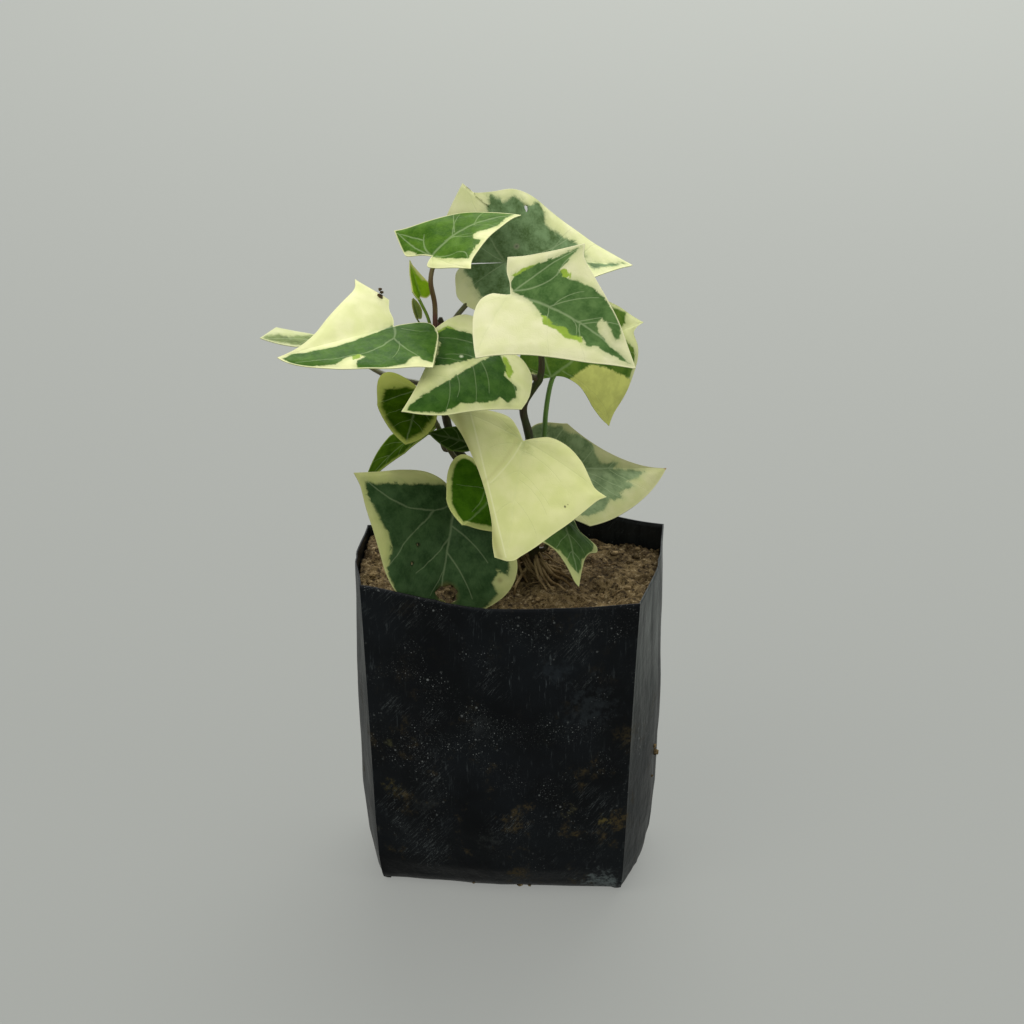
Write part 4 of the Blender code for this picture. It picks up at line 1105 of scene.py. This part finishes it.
def half_margin(lobe, shoulder, bulge, skew, fine):
    """One half's margin from the notch round the shoulder and the lobe to the tip."""
    notch, tip = np.zeros(2), np.array([1.0, 0.0])
    lobe, shoulder = np.array(lobe, float), np.array(shoulder, float)
    reach = lobe - shoulder
    along = 0.5 * lobe / np.linalg.norm(lobe) + 0.5 * reach / np.linalg.norm(reach)
    back = bezier(notch, shoulder * (0.8, 0.15), shoulder - along * np.linalg.norm(shoulder) * 0.5,
                  shoulder, MARGIN_STEPS[0] * fine)
    side = bezier(shoulder, shoulder + along * np.linalg.norm(reach) * 0.35, lobe - reach * 0.3,
                  lobe, MARGIN_STEPS[1] * fine)
    run = tip - lobe
    out = np.array([-run[1], run[0]]) / np.linalg.norm(run)
    swell = out * bulge * 1.33
    front = bezier(lobe, lobe + run * 0.3 + swell * (1 - skew),
                   lobe + run * 0.7 + swell * (1 + skew), tip, MARGIN_STEPS[2] * fine)
    return np.concatenate([back[:-1], side[:-1], front])


def outline_margin(points, steps):
    """A margin from notch to tip through the given points, evenly spaced but for its corners."""
    points = [(0.0, 0.0), *points, (1.0, 0.0)]
    runs = [points[:1]]
    for before, point in zip(points, points[1:]):
        if point == before:
            runs.append([])
        runs[-1].append(point)
    paths = [smooth_route(run, 12) for run in runs]
    gone = [path_length(path) for path in paths]
    ends = np.cumsum([g[-1] for g in gone])
    ends = np.round(ends / ends[-1] * steps).astype(int)
    margin = [np.array([points[0]], float)]
    for path, g, count in zip(paths, gone, np.diff([0, *ends])):
        even = np.linspace(0, g[-1], count + 1)[1:]
        margin.append(np.column_stack([np.interp(even, g, path[:, k]) for k in (0, 1)]))
    margin = np.vstack(margin)
    margin[[0, -1]] = (0.0, 0.0), (1.0, 0.0)
    return margin


def crease(flat, leaf):
    """Turns what lies beyond the hinge line of the right half down, round a soft bend."""
    along0, away0, angle = leaf["hinge"]
    length = leaf["length"]
    start, end = np.array([along0, -away0]) * length, np.array([length, 0.0])
    run = (end - start) / np.linalg.norm(end - start)
    out = np.array([run[1], -run[0]])
    turn, soft = math.radians(angle), 0.05 * length
    beyond = (flat - start) @ out
    swept = np.clip((beyond + soft / 2) / soft, 0, 1) * turn
    past = np.maximum(beyond - soft / 2, 0)
    move = np.where(beyond < -soft / 2, beyond,
                    -soft / 2 + np.sin(swept) * soft / turn + past * math.cos(turn))
    drop = -(1 - np.cos(swept)) * soft / turn - past * math.sin(turn)
    return start + ((flat - start) @ run)[:, None] * run + move[:, None] * out, drop


def blade_points(leaf, flat):
    """World points in mm of points on the leaf's flat pattern. The midrib is a soft valley."""
    length = leaf["length"]
    drop = np.zeros(len(flat))
    if leaf["hinge"]:
        flat, drop = crease(flat, leaf)
    u, away, left = flat[:, 0], np.abs(flat[:, 1]), flat[:, 1] >= 0
    fold = np.radians(np.where(left, *leaf["fold"]))
    bend = np.radians(np.where(left, *leaf["curl"])) / (0.55 * length)
    bend = np.where(np.abs(bend) < 1e-6, 1e-6, bend)
    angle = fold + bend * away
    y = (np.sin(angle) - np.sin(fold)) / bend - drop * np.sin(angle)
    z = (np.cos(fold) - np.cos(angle)) / bend + drop * np.cos(angle)
    z = z - np.sin(fold) * (away + MIDRIB_SOFTNESS - np.hypot(away, MIDRIB_SOFTNESS))
    y = np.where(left, y, -y)
    turn = np.radians(leaf["twist"]) * u / length
    y, z = y * np.cos(turn) - z * np.sin(turn), y * np.sin(turn) + z * np.cos(turn)
    arc = -math.radians(leaf["droop"] or 0.01) / length
    x = np.sin(arc * u) / arc - z * np.sin(arc * u)
    z = (1 - np.cos(arc * u)) / arc + z * np.cos(arc * u)
    h, p, r = (math.radians(leaf[k]) for k in ("heading", "pitch", "roll"))
    ahead = np.array([math.cos(h) * math.cos(p), math.sin(h) * math.cos(p), math.sin(p)])
    side = np.array([-math.sin(h), math.cos(h), 0.0])
    up = np.cross(ahead, side)
    side, up = side * math.cos(r) + up * math.sin(r), up * math.cos(r) - side * math.sin(r)
    return np.array(leaf["base"]) + np.stack([x, y, z], 1) @ np.array([ahead, side, up])


def blade_normals(leaf, flat):
    step = 0.25
    du = blade_points(leaf, flat + (step, 0)) - blade_points(leaf, flat - (step, 0))
    dv = blade_points(leaf, flat + (0, step)) - blade_points(leaf, flat - (0, step))
    normal = np.cross(du, dv)
    return normal / np.linalg.norm(normal, axis=1)[:, None]


def to_lines(points, starts, ends):
    """Each point's distance to the nearest of some straight pieces."""
    run = ends - starts
    squared = np.maximum((run * run).sum(1), 1e-12)
    t = np.clip(((points[:, None] - starts) * run).sum(2) / squared, 0, 1)
    gap = points[:, None] - (starts + t[..., None] * run)
    return np.sqrt((gap * gap).sum(2)).min(1)


def depth_inside(points, outline):
    """Distance to an outline, positive inside it."""
    after = np.roll(outline, -1, 0)
    away = to_lines(points, outline, after)
    x, y = points[:, :1], points[:, 1:]
    crosses = (outline[:, 1] > y) != (after[:, 1] > y)
    rise = np.where(after[:, 1] == outline[:, 1], 1e-9, after[:, 1] - outline[:, 1])
    hit = x < outline[:, 0] + (y - outline[:, 1]) * (after[:, 0] - outline[:, 0]) / rise
    return np.where((crosses & hit).sum(1) % 2 == 1, away, -away)


def patch_depth(patches, flat, length):
    """How deep inside any of a leaf's patches each point lies, mm."""
    depth = np.full(len(flat), NONE_NEAR)
    for patch in patches:
        depth = np.maximum(depth, depth_inside(flat, np.array(patch) * length))
    return depth


def vein_gap(name, flat):
    """Distance in mm to the nearest of the leaf's stronger veins."""
    length, starts, ends = LEAVES[name]["length"], [], []
    for start, end, bow, width in veins_of(name):
        if width < 0.4:
            continue
        a, b = np.array(start, float), np.array(end, float)
        out = np.array([-(b - a)[1], (b - a)[0]])
        out = out / max(np.linalg.norm(out), 1e-9) * bow
        path = [a + (b - a) * t + out * 4 * t * (1 - t) for t in np.linspace(0, 1, 7)]
        starts += path[:-1]
        ends += path[1:]
    return to_lines(flat, np.array(starts) * length, np.array(ends) * length)


def hole_share(offset, radii, length, seed):
    """How far an offset from a hole's middle lies, as a share of the ragged outline there."""
    angle = np.arctan2(offset[:, 1] / radii[1], offset[:, 0] / radii[0])
    ragged = 1 + 0.12 * np.sin(3 * angle + seed) + 0.07 * np.sin(7 * angle + 2 * seed)
    return np.hypot(offset[:, 0] / radii[0], offset[:, 1] / radii[1]) / (length * ragged)


def blade_pattern(name, leaf, holed):
    """A leaf laid flat, in mm: its points, its faces, and its outline."""
    fine, rows = FINE_LARGE if leaf["length"] > LARGE_LEAF else FINE_SMALL
    if holed:
        fine, rows = FINE_HOLED
    steps = sum(MARGIN_STEPS) * fine
    rib = np.column_stack([(np.arange(steps + 1) / steps) ** 1.4, np.zeros(steps + 1)])
    flat, quads, margins = list(rib), [], []
    for half, sign in enumerate((1, -1)):
        if name in OUTLINES:
            margin = outline_margin(OUTLINES[name][half], steps)
        else:
            own = (leaf[key][half] for key in ("lobe", "shoulder", "bulge", "skew"))
            margin = half_margin(*own, fine) * (1, sign)
        index = {}
        for i in range(steps + 1):
            for j in range(rows + 1):
                if j == 0 or i in (0, steps):
                    index[i, j] = i
                else:
                    index[i, j] = len(flat)
                    flat.append(rib[i] + (margin[i] - rib[i]) * (1 - (1 - j / rows) ** 1.5))
        for i in range(steps):
            for j in range(rows):
                corners = [index[i, j], index[i + 1, j], index[i + 1, j + 1], index[i, j + 1]]
                corners = list(dict.fromkeys(corners))
                if len(corners) > 2:
                    quads.append(corners if sign > 0 else corners[::-1])
        margins.append([index[i, rows] for i in range(steps + 1)])
    flat = np.array(flat) * leaf["length"]
    return flat, quads, flat[margins[0] + margins[1][-2:0:-1]]


def cut_holes(flat, quads, holes, length):
    """Drops the faces inside the holes, and draws their border onto the ragged outline."""
    gone = np.zeros(len(quads), bool)
    middles = np.array([flat[q].mean(0) for q in quads])
    for k, (centre, radii) in enumerate(holes):
        centre = np.array(centre) * length
        inside = hole_share(middles - centre, radii, length, k) < 1
        border = (set(v for q, out in zip(quads, inside) if out for v in q)
                  & set(v for q, out in zip(quads, inside) if not out for v in q))
        border = np.array(sorted(border))
        share = hole_share(flat[border] - centre, radii, length, k)
        flat[border] = centre + (flat[border] - centre) / share[:, None]
        gone |= inside
    return [q for q, out in zip(quads, gone) if not out]


def make_leaf(name):
    """A blade with relief, a thin margin, its holes and its paint, on its stalk."""
    leaf, paint = {**LEAF_DEFAULTS, **LEAVES[name]}, {**PAINT_DEFAULTS, **PAINT[name]}
    length, seed = leaf["length"], sum(ord(c) for c in name) % 50
    flat, quads, outline = blade_pattern(name, leaf, len(paint["holes"]) > 1)
    edge = to_lines(flat, outline, np.roll(outline, -1, 0))
    kept = cut_holes(flat, quads, paint["holes"], length)

    # veins lie low, the fields between them swell, the whole blade is a little uneven
    inner = ease(edge, 0.0, 4.0)
    relief = VEIN_DEPTH * (1 - np.exp(-(vein_gap(name, flat) / VEIN_REACH) ** 2)) * inner
    relief += SWELL * ripple(flat[:, 0] / SWELL_SIZE + seed, flat[:, 1] / SWELL_SIZE, seed)
    relief += PUCKER * inner * ripple(flat[:, 0] / PUCKER_SIZE, flat[:, 1] / PUCKER_SIZE + seed,
                                      seed + 1)
    half = (MARGIN_THICK + BODY_THICK * ease(edge, 0.0, MARGIN_BAND)) / 2
    normal = blade_normals(leaf, flat)
    middle = blade_points(leaf, flat) + normal * (relief - BLADE_SINK)[:, None]
    both = np.vstack([middle + normal * half[:, None], middle - normal * half[:, None]])

    n, sides = len(flat), {}
    for q in kept:
        for a, b in zip(q, q[1:] + q[:1]):
            if (b, a) in sides:
                del sides[b, a]
            else:
                sides[a, b] = True
    faces = [tuple(q) for q in kept] + [tuple(v + n for v in q[::-1]) for q in kept]
    faces += [(b, a, a + n, b + n) for a, b in sides]

    tone = patch_depth(paint["green"], flat, length)
    if not paint["green"]:
        tone = edge - paint["margin"] * length
    look = np.column_stack([tone, patch_depth(paint["lime"], flat, length), edge])
    place = np.vstack([np.column_stack([flat, np.full(n, under)]) for under in (0.0, 1.0)])
    used = sorted(set(v for q in kept for v in q))
    used += [v + n for v in used]
    renumber = {v: i for i, v in enumerate(used)}
    shape = Shape()
    shape.add(both[used], [tuple(renumber[v] for v in f) for f in faces], 0, place[used],
              np.vstack([look, look])[used])
    add_stalk(shape, leaf)
    return shape


STALK_SIDES = 14
STALK_END = 0.62                    # share of the length at which it is lost in the blade
STALK_FOOT = (1.35, 1.25, 1.15, 1.06)       # how much thicker its first rings are
STALK_STEPS = 5                     # rings from one point of its route to the next


def add_stalk(shape, leaf):
    """From inside the stem to the blade, then fading along the underside as its midrib."""
    stem_name, height = leaf["joins"]
    length, stem = leaf["length"], STEMS[stem_name]
    axis_line = smooth_route(stem["route"], 8)
    i = min(int(np.searchsorted(axis_line[:, 2], height)), len(axis_line) - 2)
    radius = stem_radius(stem, i / (len(axis_line) - 1))
    axis = axis_line[i + 1] - axis_line[i - 1]
    axis /= np.linalg.norm(axis)
    via = [np.array(v, float) for v in leaf["via"]]
    out = via[0] - axis_line[i]
    out -= axis * (out @ axis)
    out /= np.linalg.norm(out)
    root = axis_line[i] + out * radius * 0.35
    start = axis_line[i] + out * (radius + 2 * CLEAR)
    small = min(1.0, length / 20.0)
    thick = STALK_R * small
    along = np.linspace(STALK_SEAT + 0.04, STALK_END, 9) * length
    under = np.column_stack([along, np.zeros(len(along))])
    fade = np.linspace(thick * 0.75, 0.16, len(along))
    rib = blade_points(leaf, under) - blade_normals(leaf, under) * (0.5 + fade * 0.75)[:, None]
    notch = np.array([[0.015 * length, 0.0]])
    below = blade_points(leaf, notch) - blade_normals(leaf, notch) * (1.9 * small)
    route = smooth_route([root, start + out * 1.2, *via, *below, *rib], STALK_STEPS)
    free = STALK_STEPS * (1 + len(via) + 2)
    radii = np.concatenate([np.linspace(thick, thick * 0.8, free),
                            np.linspace(thick * 0.8, 0.15, len(route) - free)])
    radii[:len(STALK_FOOT)] *= STALK_FOOT
    points, faces, a = ridged_tube(route, radii, STALK_SIDES,
                                   lambda angle, _: 1 + 0.05 * np.sin(4 * angle))
    place = np.column_stack([np.repeat(path_length(route), STALK_SIDES), 1.2 * np.cos(a),
                             1.2 * np.sin(a)])
    share = np.repeat(np.minimum(np.arange(len(route)) / free, 1.0), STALK_SIDES)
    shape.add(points, faces, 1, place, np.column_stack([share, share, share]))


# ---- the object ----------------------------------------------------------------------------------
STALKS = {   # colour at the stem, colour at the blade
    "leaf_top_front": ((84, 46, 40), (112, 98, 58)),
    "leaf_behind_top": ((58, 92, 30), (96, 132, 50)),
    "leaf_front_cream": ((60, 50, 28), (132, 134, 74)),
    "leaf_young": ((84, 100, 34), (116, 148, 34)),
    "leaf_bud": ((84, 92, 40), (96, 108, 48)),
}
PLAIN_STALK = ((62, 50, 28), (92, 98, 48))


def finish_piece(piece, node, slot):
    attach(piece, "root")
    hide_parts(node)


def add_debris(shape):
    """The small dark cluster stuck to the lobe of the left leaf."""
    rng = np.random.RandomState(3)
    leaf = {**LEAF_DEFAULTS, **LEAVES["leaf_left"]}
    seat = blade_points(leaf, np.array([[-0.06, -0.27]]) * leaf["length"])[0]
    for _ in range(9):
        centre = seat + rng.uniform(-1, 1, 3) * (1.0, 0.6, 1.6) + (1.0, 0, 0.6)
        shape.add(*clump(centre, rng.uniform(0.45, 0.85), rng), slot=2)


def make_object():
    film, soil, bark = film_material(), soil_material(), stem_material()
    finish_piece(make_bag([film, soil]), "bag", "bag_film")
    finish_piece(make_soil(soil), "soil", "soil")
    for name in STEMS:
        finish_piece(make_stem(name, bark), name, "stem")
    plain = stalk_material("stalk_skin", *PLAIN_STALK)
    for name in LEAVES:
        stalk = stalk_material("stalk_" + name, *STALKS[name]) if name in STALKS else plain
        materials, shape = [leaf_material(name), stalk], make_leaf(name)
        if name == "leaf_left":
            add_debris(shape)
            materials.append(soil)
        piece = shape.build(name + "_grown", materials)
        finish_piece(piece, name, "leaf_cream" if name == "leaf_front_cream" else "leaf")


# ---- the stage, light and camera -----------------------------------------------------------------
FLOOR_HALF = 6.0                    # metres
FLOOR_PAINT, FLOOR_GLOW, FLOOR_GLOW_STRENGTH = (91, 93, 88), (0.98, 1.0, 0.95, 1.0), 0.255
SKY, SKY_STRENGTH = (0.93, 0.96, 1.0, 1.0), 0.62
AZIMUTH, ELEVATION, DISTANCE, AIM = 5.0, 24.0, 1.0, (0.0015, 0, 0.134)
SENSOR, LENS, FAR = 36.0, 102.83, 30.0


def make_stage():
    """A plain pale floor, large enough to be all that is seen behind the object."""
    mesh = bpy.data.meshes.new("floor")
    h = FLOOR_HALF
    mesh.from_pydata([(-h, -h, 0), (h, -h, 0), (h, h, 0), (-h, h, 0)], [], [(0, 1, 2, 3)])
    material, n, shader = new_material("floor_paint", 0.8, 0.1)
    for key, value in (("Base Color", tint(FLOOR_PAINT)), ("Emission Color", FLOOR_GLOW),
                       ("Emission Strength", FLOOR_GLOW_STRENGTH)):
        n.put(shader.inputs[key], value)
    mesh.materials.append(material)
    show(bpy.data.objects.new("floor", mesh))


def area_light(name, place, aim, size, power, colour=(1, 1, 1), spread=180.0):
    light = bpy.data.lights.new(name, "AREA")
    light.shape, light.size, light.energy, light.color = "SQUARE", size, power, colour
    light.spread = math.radians(spread)
    obj = show(bpy.data.objects.new(name, light))
    obj.location = place
    obj.rotation_euler = (Vector(aim) - Vector(place)).to_track_quat("-Z", "Y").to_euler()


def make_light():
    world = bpy.data.worlds.new("studio")
    world.use_nodes = True
    sky = world.node_tree.nodes["Background"]
    sky.inputs["Color"].default_value = SKY
    sky.inputs["Strength"].default_value = SKY_STRENGTH
    bpy.context.scene.world = world
    area_light("key", (-0.55, -0.75, 1.35), (0, 0, 0.13), 0.9, 7.0, (1.0, 0.98, 0.94))
    area_light("top", (0.25, 0.55, 1.5), (0, 0, 0.12), 1.2, 7.0)
    area_light("right", (1.1, -0.5, 0.55), (0, 0, 0.08), 0.7, 1.6)
    area_light("far", (0.15, 1.75, 1.5), (0.15, 1.7, 0), 1.4, 38.0, spread=130.0)


def make_camera():
    """Above and a little to the right of the front, from a metre away."""
    azimuth, elevation = math.radians(AZIMUTH), math.radians(ELEVATION)
    back = Vector((math.sin(azimuth) * math.cos(elevation),
                   -math.cos(azimuth) * math.cos(elevation), math.sin(elevation)))
    data = bpy.data.cameras.new("camera")
    data.sensor_width, data.lens, data.clip_end = SENSOR, LENS, FAR
    camera = show(bpy.data.objects.new("camera", data))
    camera.location = Vector(AIM) + back * DISTANCE
    camera.rotation_euler = (-back).to_track_quat("-Z", "Y").to_euler()
    bpy.context.scene.camera = camera


make_object()
make_stage()
make_light()
make_camera()
bpy.context.scene.view_settings.view_transform = "Standard"
bpy.context.view_layer.update()
